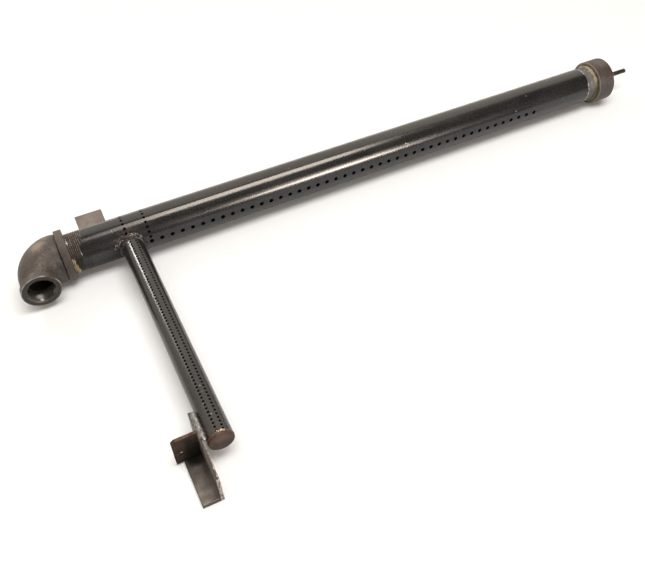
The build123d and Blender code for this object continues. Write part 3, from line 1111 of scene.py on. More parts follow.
def cap_ends(shape: BMesh, first: list[BMVert], last: list) -> None:
    """Closes a swept shape's open ends.

    Args:
        shape: the shape.
        first: its first ring.
        last: the geometry that the sweep ended in.
    """
    for ring in (first, [part for part in last if isinstance(part, BMVert)]):
        bmesh.ops.contextual_create(shape, geom=ring)


def drop(
    shape: BMesh,
    at: Vector,
    size: float,
    fine: int = 1,
    uneven: float = 0.35,
    frequency: float = 1500.0,
    seed: float = 0.0,
) -> None:
    """Adds one uneven drop.

    Args:
        shape: what it is added to.
        at: its centre.
        size: its radius.
        fine: how finely it is faceted.
        uneven: how far it strays from round, as a share.
        frequency: its dents per metre.
        seed: moves the dents.
    """
    made = bmesh.ops.create_icosphere(shape, subdivisions=fine, radius=size, matrix=Matrix.Translation(at))
    for vert in made["verts"]:
        vert.co += (vert.co - at) * uneven * wavering(vert.co, frequency, seed)


@dataclass
class Bead:
    """A weld bead of round section, with ripples across it and lumps along it."""

    radius: float
    ripple_pitch: float = 1.7 * MM
    ripple: float = 0.22 * MM
    lump: float = 0.5 * MM
    seed: float = 0.0
    sides: int = 16

    def straight(self, start: Vector, axis: Axis, length: float, steps: int) -> BMesh:
        """A straight bead with rounded-off ends.

        Args:
            start: the middle of its first end.
            axis: the direction that it runs in.
            length: its length.
            steps: number of rings along it.

        Returns:
            The shape.
        """
        shape = bmesh.new()
        ring, geometry = section(shape, self.sides, self.radius,
                                 Matrix.Translation(start) @ facing(axis.vector))
        last = swept(shape, geometry, start, axis.vector, 0.0, steps, rise=axis.vector * (length / steps))
        cap_ends(shape, ring, last)
        middle = start + axis.vector * (length / 2)
        for vert in shape.verts:
            along = (vert.co - start).dot(axis.vector)
            centre = start + axis.vector * along
            end = min(along, length - along) / self.radius
            tail = math.sqrt(max(0.0, 1.0 - (1.0 - min(1.0, end)) ** 2))
            vert.co = centre + (vert.co - centre) * max(0.05, tail)
        self.ripple_over(shape, lambda vert: ((vert.co - start).dot(axis.vector), (vert.co - middle).length))
        return shape

    def around(self, centre: Vector, axis: Axis, ring_radius: float, steps: int) -> BMesh:
        """A bead all round a circle.

        Args:
            centre: the circle's centre.
            axis: the circle's axis.
            ring_radius: the circle's radius.
            steps: number of rings round it.

        Returns:
            The shape.
        """
        shape = bmesh.new()
        across = axis.vector.cross(UP)
        place = Matrix.Translation(centre + UP * ring_radius) @ facing(across)
        geometry = section(shape, self.sides, self.radius, place)[1]
        swept(shape, geometry, centre, axis.vector, FULL_TURN, steps, closed=True)

        def run(vert: BMVert) -> tuple[float, float]:
            """Length along the circle, and distance across the bead."""
            spoke = vert.co - centre
            angle = math.atan2(spoke.dot(across), spoke.dot(UP))
            return angle * ring_radius, (spoke.length - ring_radius)

        self.ripple_over(shape, run)
        return shape

    def arc(self, centre: Vector, axis: Axis, ring_radius: float, start: float, sweep: float,
            steps: int) -> BMesh:
        """A thin bead along part of a circle.

        Args:
            centre: the circle's centre.
            axis: the circle's axis.
            ring_radius: the circle's radius.
            start: degrees about the axis, from the top, where it starts.
            sweep: degrees that it runs on for.
            steps: number of rings along it.

        Returns:
            The shape.
        """
        shape = bmesh.new()
        side = Matrix.Rotation(math.radians(start), 3, axis.vector) @ UP
        place = Matrix.Translation(centre + side * ring_radius) @ facing(axis.vector.cross(side))
        ring, geometry = section(shape, self.sides, self.radius, place)
        cap_ends(shape, ring, swept(shape, geometry, centre, axis.vector, math.radians(sweep), steps))
        for vert in shape.verts:
            stray = [wavering(vert.co, 420.0, self.seed + shift) for shift in (0.0, 3.0, 6.0)]
            vert.co += 0.5 * self.lump * Vector(stray)
        return shape

    def ripple_over(self, shape: BMesh, run: Callable[[BMVert], tuple[float, float]]) -> None:
        """Raises ripples and lumps on a bead.

        Args:
            shape: the bead.
            run: gives a vertex's length along the bead and its offset across.
        """
        shape.normal_update()
        moves = []
        for vert in shape.verts:
            along, across = run(vert)
            phase = along / self.ripple_pitch + 0.9 * (across / self.radius) ** 2
            phase += 0.6 * wavering(vert.co, 160.0, self.seed)
            crest = abs(math.sin(math.pi * phase)) ** 0.7 - 0.5
            rise = self.ripple * crest + self.lump * wavering(vert.co, 210.0, self.seed + 5.0)
            moves.append((vert, vert.normal * rise))
        for vert, move in moves:
            vert.co += move


@dataclass
class Thread:
    """A helical thread ridge round an axis."""

    axis: Axis
    centre: Vector
    start: float
    end: float
    root: float
    crest: float
    pitch: float = 25.4 / 11.5 * MM
    run_in: float = 0.0
    run_out: float = 1.0
    steps_per_turn: int = 48
    slanting: bool = False

    def shape(self) -> BMesh:
        """Spins the ridge's section along its helix, with a dip at each end.

        A slanting thread ends early in front, and is level with the pipe from there on.

        Returns:
            The shape.
        """
        shape = bmesh.new()
        base = self.axis.vector * (self.start - self.centre.dot(self.axis.vector)) + self.centre
        half = 0.47 * self.pitch
        flat = 0.07 * self.pitch
        profile = [(-half, self.root), (-flat, self.crest), (flat, self.crest), (half, self.root)]
        verts = [shape.verts.new(base + self.axis.vector * along + UP * radius) for along, radius in profile]
        edges = [shape.edges.new(pair) for pair in zip(verts, verts[1:])]
        turns = (self.end - self.start) / self.pitch
        steps = round(abs(turns) * self.steps_per_turn)
        swept(shape, verts + edges, self.centre, self.axis.vector, FULL_TURN * abs(turns), steps,
              rise=self.axis.vector * ((self.end - self.start) / steps))
        for vert in shape.verts:
            spoke = vert.co - self.centre
            along = spoke.dot(self.axis.vector)
            spoke -= self.axis.vector * along
            place = along + self.centre.dot(self.axis.vector)
            gone = abs(place - self.end) / self.pitch / max(self.run_out, 0.01)
            come = abs(place - self.start) / self.pitch / self.run_in if self.run_in else 1.0
            share = min(1.0, gone, come)
            nick = 0.12 * wavering(vert.co, 500.0)
            radius = self.root + (spoke.length - self.root) * max(0.0, share - abs(nick))
            if self.slanting:
                end = self.end - THREAD_RUN_ON - SLANT * max(0.0, SLANT_FROM - spoke.y)
                radius += (self.crest - radius) * min(1.0, max(0.0, (place - end) / (0.9 * self.pitch)))
            vert.co = self.centre + self.axis.vector * along + spoke.normalized() * radius
        return shape


# ============================================================ sub-assemblies
@dataclass
class PipeThreads:
    """The cut threads at both ends of the main pipe and in the tapped inlet."""

    places: Places
    shop: Workshop
    tap_depth: float = 0.8 * MM
    tap_start: float = 1.0 * MM
    tap_length: float = 15.6 * MM
    cap_recess: float = 3.6 * MM

    def build(self, outside: Material, worn: Material, inside: Material) -> None:
        """Builds the three threads.

        Args:
            outside: finish of the thread at the elbow.
            worn: finish of the thread at the cap.
            inside: finish of the tapped thread.
        """
        pipe = self.places.pipe
        root = pipe.radius - THREAD_DEPTH - 0.02 * MM
        crest = pipe.radius - 0.05 * MM
        near = Thread(Axis.X, pipe.centre, self.places.elbow_face - 1.0 * MM,
                      pipe.start + INLET_THREAD + THREAD_RUN_ON, root, crest, run_out=1.6, slanting=True)
        self.shop.piece(near.shape(), "inlet_end_thread", outside, "burner_pipe")
        far = Thread(Axis.X, pipe.centre, self.places.cap.start + self.cap_recess, pipe.end - CAP_THREAD,
                     root, crest - 0.4 * MM, run_out=2.2)
        self.shop.piece(far.shape(), "cap_end_thread", worn, "burner_pipe")
        tapped = Thread(Axis.Y, Vector((0, 0, 0)), self.tap_start, self.tap_start + self.tap_length,
                        BORE_RADIUS + 0.02 * MM, BORE_RADIUS - self.tap_depth, run_in=0.8, run_out=0.5)
        self.shop.piece(tapped.shape(), "tapped_inlet_thread", inside, "cast_fitting")


@dataclass
class SaddleWeld:
    """The rough bead round the saddle, a lump beside it, spatter about it, and pale toe lines and specks
    that are painted highlights and glints.
    """

    places: Places
    shop: Workshop
    bead_radius: float = 3.1 * MM
    overlap: float = 0.3 * MM
    sink: float = 0.9 * MM
    lump_radius: float = 4.6 * MM
    spatter: int = 42
    specks: int = 46

    def build(self, metal: Material, bright: Material) -> None:
        """Builds the weld.

        Args:
            metal: its finish.
            bright: the finish of its toe lines and specks, painted highlights and glints.
        """
        branch = self.places.branch
        centre = Vector((branch.centre.x, 0.0, 0.0))
        bead = Bead(self.bead_radius, ripple_pitch=2.4 * MM, ripple=0.6 * MM, lump=1.2 * MM, seed=2.0)
        shape = bead.around(centre, Axis.Y, branch.radius + self.overlap, steps=130)
        self.onto_pipe(shape, self.sink)
        self.shop.piece(shape, "saddle_weld_bead", metal, "weld_metal", ("junction_weld",))
        self.build_toes(bright)
        self.build_lump(metal, bright)
        self.build_spatter(metal)
        self.build_specks(bright)

    def onto_pipe(self, shape: BMesh, sink: float) -> None:
        """Moves a flat ring's shape along Y onto the main pipe's round front.

        Args:
            shape: the ring.
            sink: how deep it goes in.
        """
        pipe = self.places.pipe
        for vert in shape.verts:
            reach = min(abs(vert.co.z), pipe.radius * 0.98)
            vert.co.y += pipe.centre.y - math.sqrt(pipe.radius**2 - reach**2) - sink

    def build_toes(self, bright: Material) -> None:
        """Builds the thin pale lines where the bead ends on the pipe: painted highlights along its toes.

        Args:
            bright: their finish.
        """
        branch = self.places.branch
        centre = Vector((branch.centre.x, 0.0, 0.0))
        toe = Bead(0.44 * MM, lump=1.2 * MM, seed=14.0, sides=8)
        for name, start, sweep, ring, sink in (
            ("right", 14.0, 66.0, 2.9 * MM, 0.1 * MM),
            ("left", -78.0, 34.0, 3.2 * MM, 0.1 * MM),
            ("top", -34.0, 42.0, 0.7 * MM, 2.9 * MM),
        ):
            shape = toe.arc(centre, Axis.Y, branch.radius + ring, start, sweep, steps=44)
            self.onto_pipe(shape, sink)
            self.shop.piece(shape, f"saddle_toe_highlight_{name}", bright, "weld_metal")
            toe.seed += 4.0

    def build_lump(self, metal: Material, bright: Material) -> None:
        """Builds the round lump of weld on the pipe beside the branch, with a pale open rim round it as a
        painted highlight.

        Args:
            metal: the lump's finish.
            bright: the rim's finish.
        """
        shape = bmesh.new()
        along = self.places.branch.centre.x - 18.0 * MM
        at = self.places.on_pipe(along, 73.0, -1.9 * MM)
        drop(shape, at, self.lump_radius, fine=3, uneven=0.22, frequency=330.0, seed=4.0)
        self.shop.piece(shape, "saddle_weld_lump", metal, "weld_metal")
        rim = Bead(0.4 * MM, lump=0.9 * MM, seed=31.0, sides=8)
        shape = rim.arc(self.places.on_pipe(along, 73.0, 2.3 * MM), Axis.Y, 2.9 * MM, -150.0, 205.0,
                        steps=30)
        self.shop.piece(shape, "saddle_lump_rim_highlight", bright, "weld_metal")

    def build_spatter(self, metal: Material) -> None:
        """Builds the drops of spatter on both tubes.

        Args:
            metal: their finish.
        """
        chance = random.Random(11)
        shape = bmesh.new()
        branch = self.places.branch
        for _ in range(self.spatter):
            size = chance.uniform(0.25, 0.7) * MM
            if chance.random() < 0.6:
                at = self.places.on_pipe(
                    branch.centre.x + chance.choice((-1, 1)) * chance.uniform(17, 34) * MM,
                    chance.uniform(30, 125)
                )
            else:
                at = self.places.on_branch(chance.uniform(-8, 14) * MM, chance.uniform(-110, 110))
            drop(shape, at, size)
        self.shop.piece(shape, "saddle_spatter", metal, "weld_metal")

    def build_specks(self, bright: Material) -> None:
        """Builds the bright specks on the top of the bead and beside it: partly fresh metal, partly painted
        glints.

        Args:
            bright: their finish.
        """
        chance = random.Random(5)
        shape = bmesh.new()
        branch = self.places.branch
        for _ in range(self.specks):
            turn = math.radians(chance.gauss(-8, 26))
            reach = branch.radius + chance.uniform(0.4, 3.4) * MM
            x, z = branch.centre.x + reach * math.sin(turn), reach * math.cos(turn)
            y = self.places.pipe.centre.y - math.sqrt(max(0.0, self.places.pipe.radius**2 - z**2))
            rise = max(0.0, 4.6 * MM - abs(reach - branch.radius - 1.2 * MM))
            drop(shape, Vector((x, y - 0.45 * rise, z + 0.2 * rise)), chance.uniform(0.3, 0.7) * MM)
        for along, angle, size in ((0.0961, 31.5, 0.6), (0.0872, 27.0, 0.55), (0.1012, 36.0, 0.4)):
            drop(shape, self.places.on_pipe(along, angle), size * MM)
        self.shop.piece(shape, "saddle_glint_specks", bright, "weld_metal")


@dataclass
class BranchEnd:
    """The bead round the disc that shuts the branch."""

    places: Places
    shop: Workshop
    bead_radius: float = 0.95 * MM

    def build(self, metal: Material, bright: Material) -> None:
        """Builds the bead.

        Args:
            metal: its finish.
            bright: the finish of the specks on it.
        """
        branch = self.places.branch
        centre = Vector((branch.centre.x, branch.start, 0.0))
        bead = Bead(self.bead_radius, ripple_pitch=2.1 * MM, ripple=0.2 * MM, lump=0.4 * MM, seed=7.0,
                    sides=12)
        shape = bead.around(centre, Axis.Y, branch.radius - 0.55 * MM, steps=110)
        self.shop.piece(shape, "end_disc_bead", metal, "weld_metal", ("end_disc_weld",))
        self.build_specks(bright)

    def build_specks(self, bright: Material) -> None:
        """Builds the bright specks along the top of the seam, painted highlights.

        Args:
            bright: their finish.
        """
        chance = random.Random(23)
        shape = bmesh.new()
        branch = self.places.branch
        for _ in range(18):
            along = branch.start + chance.uniform(-0.6, 1.4) * MM
            at = self.places.on_branch(along, chance.gauss(4, 11), 0.25 * MM)
            drop(shape, at, chance.uniform(0.45, 1.0) * MM)
        self.shop.piece(shape, "end_disc_glint_specks", bright, "weld_metal")


@dataclass
class PinFoot:
    """The bead at the foot of the locating pin."""

    places: Places
    shop: Workshop
    bead_radius: float = 2.4 * MM

    def build(self, metal: Material) -> None:
        """Builds the bead.

        Args:
            metal: its finish.
        """
        pin, cap = self.places.pin, self.places.cap
        centre = Vector((cap.end + 0.2 * MM, pin.centre.y, 0.0))
        bead = Bead(self.bead_radius, ripple_pitch=1.5 * MM, ripple=0.2 * MM, lump=0.4 * MM, seed=3.0,
                    sides=12)
        shape = bead.around(centre, Axis.X, pin.radius + 0.35 * MM, steps=60)
        for vert in shape.verts:
            vert.co.x += 2.4 * max(0.0, vert.co.x - centre.x)
        self.shop.piece(shape, "pin_foot_bead", metal, "weld_metal", ("pin_weld",))


@dataclass
class Brackets:
    """Weld beads and burrs of the support angle, the pilot bracket and the rear tab."""

    places: Places
    shop: Workshop

    def build(self, bright: Material, tinted: Material, bare: Material) -> None:
        """Builds the beads and burrs.

        Args:
            bright: the grey weld on the angle.
            tinted: the brown welds.
            bare: the torn edge of the cut.
        """
        self.build_angle_weld(bright, bare)
        self.build_burrs(bare)
        self.build_small_welds(tinted)

    def build_angle_weld(self, bright: Material, bare: Material) -> None:
        """Builds the wide bead between the angle and the branch, and the lump that ends it.

        Args:
            bright: the bead's finish.
            bare: the lump's finish.
        """
        low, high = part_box("angle_weld")
        length = high.y - low.y
        middle = Vector((low.x + 0.42 * (high.x - low.x) - 0.8 * MM, low.y, high.z - 4.0 * MM))
        bead = Bead(4.0 * MM, ripple_pitch=2.4 * MM, ripple=0.3 * MM, lump=0.75 * MM, seed=9.0, sides=20)
        shape = bead.straight(middle, Axis.Y, length, steps=64)
        self.shop.piece(shape, "angle_weld_bead", bright, "weld_metal", ("angle_weld",))
        lump = bmesh.new()
        at = Vector((low.x + 3.4 * MM, low.y + 1.6 * MM, high.z - 1.6 * MM))
        drop(lump, at, 2.3 * MM, fine=3, uneven=0.25, frequency=500.0, seed=1.0)
        self.shop.piece(lump, "angle_weld_lump", bare, "weld_metal")

    def build_burrs(self, bare: Material) -> None:
        """Builds the torn edges round the front end of the angle's web.

        Args:
            bare: their finish.
        """
        low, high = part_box("support_angle")
        web = high.x - 1.6 * MM
        bead = Bead(0.75 * MM, ripple_pitch=2.3 * MM, ripple=0.25 * MM, lump=0.6 * MM, seed=6.0, sides=8)
        top = bead.straight(Vector((web + 0.6 * MM, low.y + 0.9 * MM, high.z - 0.7 * MM)), Axis.Y, 16 * MM,
                            steps=40)
        self.shop.piece(top, "web_top_burr", bare, "bracket_steel")
        front = bead.straight(Vector((web + 0.7 * MM, low.y + 1.25 * MM, low.z + 0.9 * MM)), Axis.Z,
                              high.z - low.z - 1.6 * MM, steps=80)
        self.shop.piece(front, "web_front_burr", bare, "bracket_steel")
        bead.radius, bead.seed = 0.5 * MM, 8.0
        foot = bead.straight(Vector((high.x - 13 * MM, low.y + 1.1 * MM, low.z + 3.0 * MM)), Axis.X,
                             11.5 * MM, steps=40)
        self.shop.piece(foot, "foot_front_burr", bare, "bracket_steel")

    def build_small_welds(self, tinted: Material) -> None:
        """Builds the beads of the pilot bracket and the rear tab.

        Args:
            tinted: their finish.
        """
        low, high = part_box("pilot_bracket_weld")
        bead = Bead(1.9 * MM, ripple_pitch=1.9 * MM, ripple=0.25 * MM, lump=0.4 * MM, seed=12.0, sides=12)
        corner = Vector((high.x - 0.5 * MM, low.y + 0.5 * MM, low.z))
        self.shop.piece(bead.straight(corner, Axis.Z, high.z - low.z, steps=44), "pilot_bracket_bead",
                        tinted,
                        "weld_metal", ("pilot_bracket_weld",))
        for side, node in ((1, "rear_tab_weld_top"), (-1, "rear_tab_weld_bottom")):
            low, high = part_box(node)
            bead.seed += 3.0
            seam = Vector((low.x, low.y + 1.0 * MM, (low.z if side > 0 else high.z) + side * 0.6 * MM))
            shape = bead.straight(seam, Axis.X, high.x - low.x, steps=48)
            self.shop.piece(shape, f"{node}_bead", tinted, "weld_metal", (node,))


@dataclass
class ThreadSealant:
    """The smears of sealant where the pipe enters the cap and the elbow."""

    places: Places
    shop: Workshop

    def build(self, paste: Material, dark: Material, olive: Material, yellow: Material,
              chalk: Material) -> None:
        """Builds the two smears and the flecks.

        Args:
            paste: the finish at the cap.
            dark: the finish of what fills the cap's recess.
            olive: the finish of the patch at the elbow.
            yellow: the finish of the strands at the elbow.
            chalk: the finish of the flecks.
        """
        low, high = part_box("cap_sealant")
        pipe = self.places.pipe
        bead = Bead(2.3 * MM, ripple_pitch=3.9 * MM, ripple=0.2 * MM, lump=0.9 * MM, seed=15.0, sides=14)
        centre = Vector(((low.x + high.x) / 2, pipe.centre.y, 0.0))
        shape = bead.around(centre, Axis.X, pipe.radius - 0.7 * MM, steps=150)
        for vert in shape.verts:
            spread = 1.15 + 0.5 * max(0.0, vert.co.z / pipe.radius)
            vert.co.x = centre.x + (vert.co.x - centre.x) * spread + (1.8 - spread) * 1.3 * MM
        self.shop.piece(shape, "cap_sealant_smear", paste, "thread_sealant", ("cap_sealant",))
        filler = Bead(1.75 * MM, ripple_pitch=4.5 * MM, ripple=0.1 * MM, lump=0.5 * MM, seed=27.0, sides=12)
        rim = Vector((self.places.cap.start + 1.35 * MM, pipe.centre.y, 0.0))
        shape = filler.around(rim, Axis.X, pipe.radius + 1.9 * MM, steps=120)
        self.shop.piece(shape, "cap_recess_paste", dark, "thread_sealant")
        self.build_inlet_smear(olive, yellow)
        self.build_flecks(chalk)

    def build_inlet_smear(self, olive: Material, yellow: Material) -> None:
        """Builds the patch on the lower front of the thread beside the elbow, and the strands on it.

        Args:
            olive: the finish of the patch.
            yellow: the finish of the strands.
        """
        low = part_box("inlet_sealant")[0]
        pipe = self.places.pipe
        start, end = math.radians(66), math.radians(150)
        middle = low.x + 2.2 * MM
        shape = bmesh.new()
        place = Matrix.Translation(Vector((middle, pipe.centre.y, pipe.radius - 1.25 * MM)))
        ring, geometry = section(shape, 12, 1.5 * MM, place @ Matrix.Rotation(math.pi / 2, 4, "X"))
        bmesh.ops.rotate(shape, verts=ring, cent=pipe.centre, matrix=Matrix.Rotation(start, 3, "X"))
        cap_ends(shape, ring, swept(shape, geometry, pipe.centre, Axis.X.vector, end - start, 70))
        for vert in shape.verts:
            vert.co.x = middle + (vert.co.x - middle) * 1.7
            spoke = vert.co - Vector((vert.co.x, pipe.centre.y, 0.0))
            vert.co += spoke.normalized() * 0.9 * MM * wavering(vert.co, 240.0, 21.0)
        self.shop.piece(shape, "inlet_sealant_smear", olive, "thread_sealant", ("inlet_sealant",))
        strand = Bead(0.5 * MM, lump=0.9 * MM, seed=41.0, sides=8)
        strands = ((0.9, 66.0, 44.0), (2.6, 72.0, 58.0), (4.1, 88.0, 46.0), (5.4, 104.0, 24.0))
        for step, (shift, begin, sweep) in enumerate(strands):
            at = Vector((low.x + shift * MM, pipe.centre.y, 0.0))
            shape = strand.arc(at, Axis.X, pipe.radius + 0.25 * MM, begin, sweep, steps=40)
            self.shop.piece(shape, f"inlet_sealant_strand_{step + 1}", yellow, "thread_sealant")
            strand.seed += 3.0

    def build_flecks(self, chalk: Material) -> None:
        """Builds the dry white flecks beside the elbow's band.

        Args:
            chalk: their finish.
        """
        shape = bmesh.new()
        for along, angle, size in (
            (0.0432, 19.0, 1.35), (0.0433, 14.5, 0.8), (0.0427, 9.5, 0.7), (0.0433, 4.0, 0.5),
            (0.0431, 24.0, 0.5),
        ):
            drop(shape, self.places.on_pipe(along, angle, 0.15 * MM), size * MM)
        self.shop.piece(shape, "band_flecks", chalk, "thread_sealant")


@dataclass
class Scar:
    """A knocked spot on the main pipe: a small crater with a thrown-up rim."""

    places: Places
    shop: Workshop
    along: float = 0.4895
    angle: float = 57.0
    rim: float = 2.3 * MM

    def build(self, bare: Material) -> None:
        """Builds the scar.

        Args:
            bare: the finish of the rim.
        """
        shape = bmesh.new()
        at = self.places.on_pipe(self.along, self.angle, -0.12 * MM)
        out = (at - Vector((at.x, self.places.pipe.centre.y, 0.0))).normalized()
        place = Matrix.Translation((self.rim, 0, 0)) @ Matrix.Rotation(math.pi / 2, 4, "X")
        geometry = section(shape, 10, 0.42 * MM, place)[1]
        swept(shape, geometry, Vector((0, 0, 0)), UP, FULL_TURN, 28, closed=True)
        for vert in shape.verts:
            vert.co.z *= 0.9 + 0.7 * wavering(vert.co, 600.0, 2.0)
            vert.co.x *= 1.25
        crumb = Matrix.Translation((0.6 * MM, -0.5 * MM, 0.0)) @ Matrix.Diagonal((1, 1, 0.5, 1))
        bmesh.ops.create_icosphere(shape, subdivisions=2, radius=0.8 * MM, matrix=crumb)
        bmesh.ops.transform(shape, matrix=Matrix.Translation(at) @ facing(out), verts=shape.verts[:])
        self.shop.piece(shape, "pipe_scar", bare, "burner_pipe")


# ============================================================ studio
class Reach(Enum):
    """What a lamp shows up in: mirrored streaks only, or plain light only."""

    STREAK = "streak"
    PLAIN = "plain"


@dataclass(frozen=True)
class Lamp:
    """A soft lamp aimed at a point."""

    name: str
    place: Vector
    aim: Vector
    width: float
    height: float
    radiance: float
    reach: Reach
    colour: Colour = (1.0, 1.0, 1.0)

    def build(self) -> None:
        """Adds the lamp, with power worked out from its size and radiance."""
        light = bpy.data.lights.new(self.name, "AREA")
        light.shape = "RECTANGLE"
        light.size, light.size_y = self.width, self.height
        light.energy = self.radiance * self.width * self.height * math.pi
        light.color = self.colour
        lamp = bpy.data.objects.new(self.name, light)
        lamp.location = self.place
        lamp.rotation_euler = (self.aim - self.place).to_track_quat("-Z", "Y").to_euler()
        lamp.visible_camera = False
        lamp.visible_diffuse = self.reach is Reach.PLAIN
        lamp.visible_glossy = self.reach is Reach.STREAK
        bpy.context.scene.collection.objects.link(lamp)


@dataclass(frozen=True)
class Studio:
    """Floor, backdrop light, lamps and camera."""

    floor_level: float
    floor_size: float = 14.0
    floor_colour: Colour = (0.95, 0.948, 0.942)
    floor_lift: float = 0.04
    far_lift: float = 0.6
    plain_light: float = 0.46
    plain_colour: Colour = (1.0, 0.9, 0.79)
    wall_light: float = 0.85
    wall_rise: float = 1.1
    dim_light: float = 0.155
    camera_place: Vector = Vector((0.05011, -0.65946, 0.61574))
    camera_aim: Vector = Vector((0.28758, -0.13334, 0.0))
    camera_roll: float = -2.4455
    camera_lens: float = 41.84

    def build(self) -> None:
        """Builds the studio."""
        self.build_floor()
        self.build_world()
        for lamp in self.lamps():
            lamp.build()
        self.build_camera()

    def lamps(self) -> list[Lamp]:
        """The lamps: narrow ones that streak the pipes, and two broad ones that light everything.

        Returns:
            The lamps.
        """
        middle, foot = Vector((0.35, 0.0, 0.0)), Vector((0.113, 0.0, 0.0))
        warm, warmer, warmest = (1.0, 0.97, 0.93), (1.0, 0.88, 0.79), (1.0, 0.88, 0.76)
        return [
            Lamp("overhead_strip", Vector((0.66, 0.03, 1.5)), Vector((0.66, 0.0, 0.0)), 0.78, 0.34, 20.0,
                 Reach.STREAK, warmest),
            Lamp("overhead_strip_end", Vector((0.08, 0.03, 1.5)), Vector((0.08, 0.0, 0.0)), 0.36, 0.34, 3.5,
                 Reach.STREAK, warm),
            Lamp("front_panel", Vector((1.22, -2.2, 0.95)), middle, 0.62, 0.74, 42.0, Reach.STREAK, warmer),
            Lamp("back_left_lamp", Vector((-0.475, 1.43, 1.16)), foot, 0.2, 0.18, 58.0, Reach.STREAK, warm),
            Lamp("back_left_strip", Vector((-0.51, 1.1, 1.25)), foot, 0.22, 0.5, 3.2, Reach.STREAK, warm),
            Lamp("key_panel", Vector((0.45, -0.44, 1.8)), Vector((0.45, 0.0, 0.0)), 1.5, 0.9, 6.7,
                 Reach.PLAIN),
            Lamp("back_left_fill", Vector((-0.475, 1.43, 1.16)), foot, 0.5, 0.5, 9.0, Reach.PLAIN),
        ]

    def build_floor(self) -> None:
        """Builds the pale floor, which reads as white and keeps the shadow."""
        shape = bmesh.new()
        bmesh.ops.create_grid(shape, x_segments=1, y_segments=1, size=self.floor_size / 2,
                              matrix=Matrix.Translation((0.4, 0.0, self.floor_level)))
        mesh = bpy.data.meshes.new("floor")
        shape.to_mesh(mesh)
        shape.free()
        graph = Graph("pale_floor")
        rays = graph.add("ShaderNodeLightPath")
        seen = graph.higher(rays.outputs["Is Camera Ray"], rays.outputs["Is Glossy Ray"])
        seen = graph.higher(seen, rays.outputs["Is Transmission Ray"])
        diffuse = graph.add("ShaderNodeBsdfDiffuse")
        graph.feed(diffuse.inputs["Color"], self.floor_colour)
        lift = graph.add("ShaderNodeEmission")
        away = graph.from_axis(graph.x, graph.y, (0.4, -0.1))
        strength = graph.ramp(graph.fade(away, 0.8, 2.4), self.far_lift, self.floor_lift)
        graph.feed(lift.inputs["Strength"], graph.times(seen, strength))
        both = graph.add("ShaderNodeAddShader")
        graph.feed(both.inputs[0], diffuse.outputs[0])
        graph.feed(both.inputs[1], lift.outputs[0])
        out = graph.add("ShaderNodeOutputMaterial")
        graph.feed(out.inputs["Surface"], both.outputs[0])
        mesh.materials.append(graph.material)
        floor = bpy.data.objects.new("floor", mesh)
        bpy.context.scene.collection.objects.link(floor)

    def build_world(self) -> None:
        """Builds the surroundings: plain light, a pale wall that metal mirrors, white to the camera."""
        world = bpy.data.worlds.new("studio")
        bpy.context.scene.world = world
        world.use_nodes = True
        tree = world.node_tree
        tree.nodes.clear()
        place = tree.nodes.new("ShaderNodeTexCoord")
        parts = tree.nodes.new("ShaderNodeSeparateXYZ")
        tree.links.new(place.outputs["Generated"], parts.inputs[0])

        def smooth(value: NodeSocket, low: float, high: float, first: float, last: float) -> NodeSocket:
            """A smooth change from one number to another."""
            node = tree.nodes.new("ShaderNodeMapRange")
            node.interpolation_type = "SMOOTHSTEP"
            tree.links.new(value, node.inputs["Value"])
            for name, number in (("From Min", low), ("From Max", high), ("To Min", first), ("To Max", last)):
                node.inputs[name].default_value = number
            return node.outputs["Result"]

        def blend(factor: NodeSocket, first: NodeSocket | float, second: NodeSocket | float) -> NodeSocket:
            """Mixes two numbers."""
            node = tree.nodes.new("ShaderNodeMix")
            tree.links.new(factor, node.inputs[0])
            for socket, value in ((node.inputs[2], first), (node.inputs[3], second)):
                if isinstance(value, float):
                    socket.default_value = value
                else:
                    tree.links.new(value, socket)
            return node.outputs[0]

        wall = tree.nodes.new("ShaderNodeMath")
        wall.operation = "MULTIPLY_ADD"
        tree.links.new(parts.outputs[2], wall.inputs[0])
        wall.inputs[1].default_value = self.wall_rise
        wall.inputs[2].default_value = self.wall_light
        behind = smooth(parts.outputs[1], 0.05, 0.4, 0.0, 1.0)
        below_ceiling = smooth(parts.outputs[2], 0.84, 0.95, 1.0, 0.0)
        shown = tree.nodes.new("ShaderNodeMath")
        shown.operation = "MULTIPLY"
        tree.links.new(behind, shown.inputs[0])
        tree.links.new(below_ceiling, shown.inputs[1])
        mirrored = blend(shown.outputs[0], self.dim_light, wall.outputs[0])
        rays = tree.nodes.new("ShaderNodeLightPath")
        strength = blend(rays.outputs["Is Glossy Ray"], self.plain_light, mirrored)
        strength = blend(rays.outputs["Is Camera Ray"], strength, 1.0)
        background = tree.nodes.new("ShaderNodeBackground")
        tint = tree.nodes.new("ShaderNodeMix")
        tint.data_type = "RGBA"
        tree.links.new(rays.outputs["Is Camera Ray"], tint.inputs[0])
        tint.inputs[6].default_value = (*self.plain_colour, 1.0)
        tint.inputs[7].default_value = (1.0, 1.0, 1.0, 1.0)
        tree.links.new(tint.outputs[2], background.inputs["Color"])
        tree.links.new(strength, background.inputs["Strength"])
        out = tree.nodes.new("ShaderNodeOutputWorld")
        tree.links.new(background.outputs[0], out.inputs["Surface"])

    def build_camera(self) -> None:
        """Adds the camera."""
        data = bpy.data.cameras.new("camera")
        data.lens = self.camera_lens
        data.sensor_width = 36.0
        data.sensor_fit = "HORIZONTAL"
        camera = bpy.data.objects.new("camera", data)
        look = (self.camera_aim - self.camera_place).to_track_quat("-Z", "Y").to_matrix()
        roll = Matrix.Rotation(math.radians(self.camera_roll), 3, "Z")
        camera.matrix_world = Matrix.Translation(self.camera_place) @ (look @ roll).to_4x4()
        bpy.context.scene.collection.objects.link(camera)
        bpy.context.scene.camera = camera


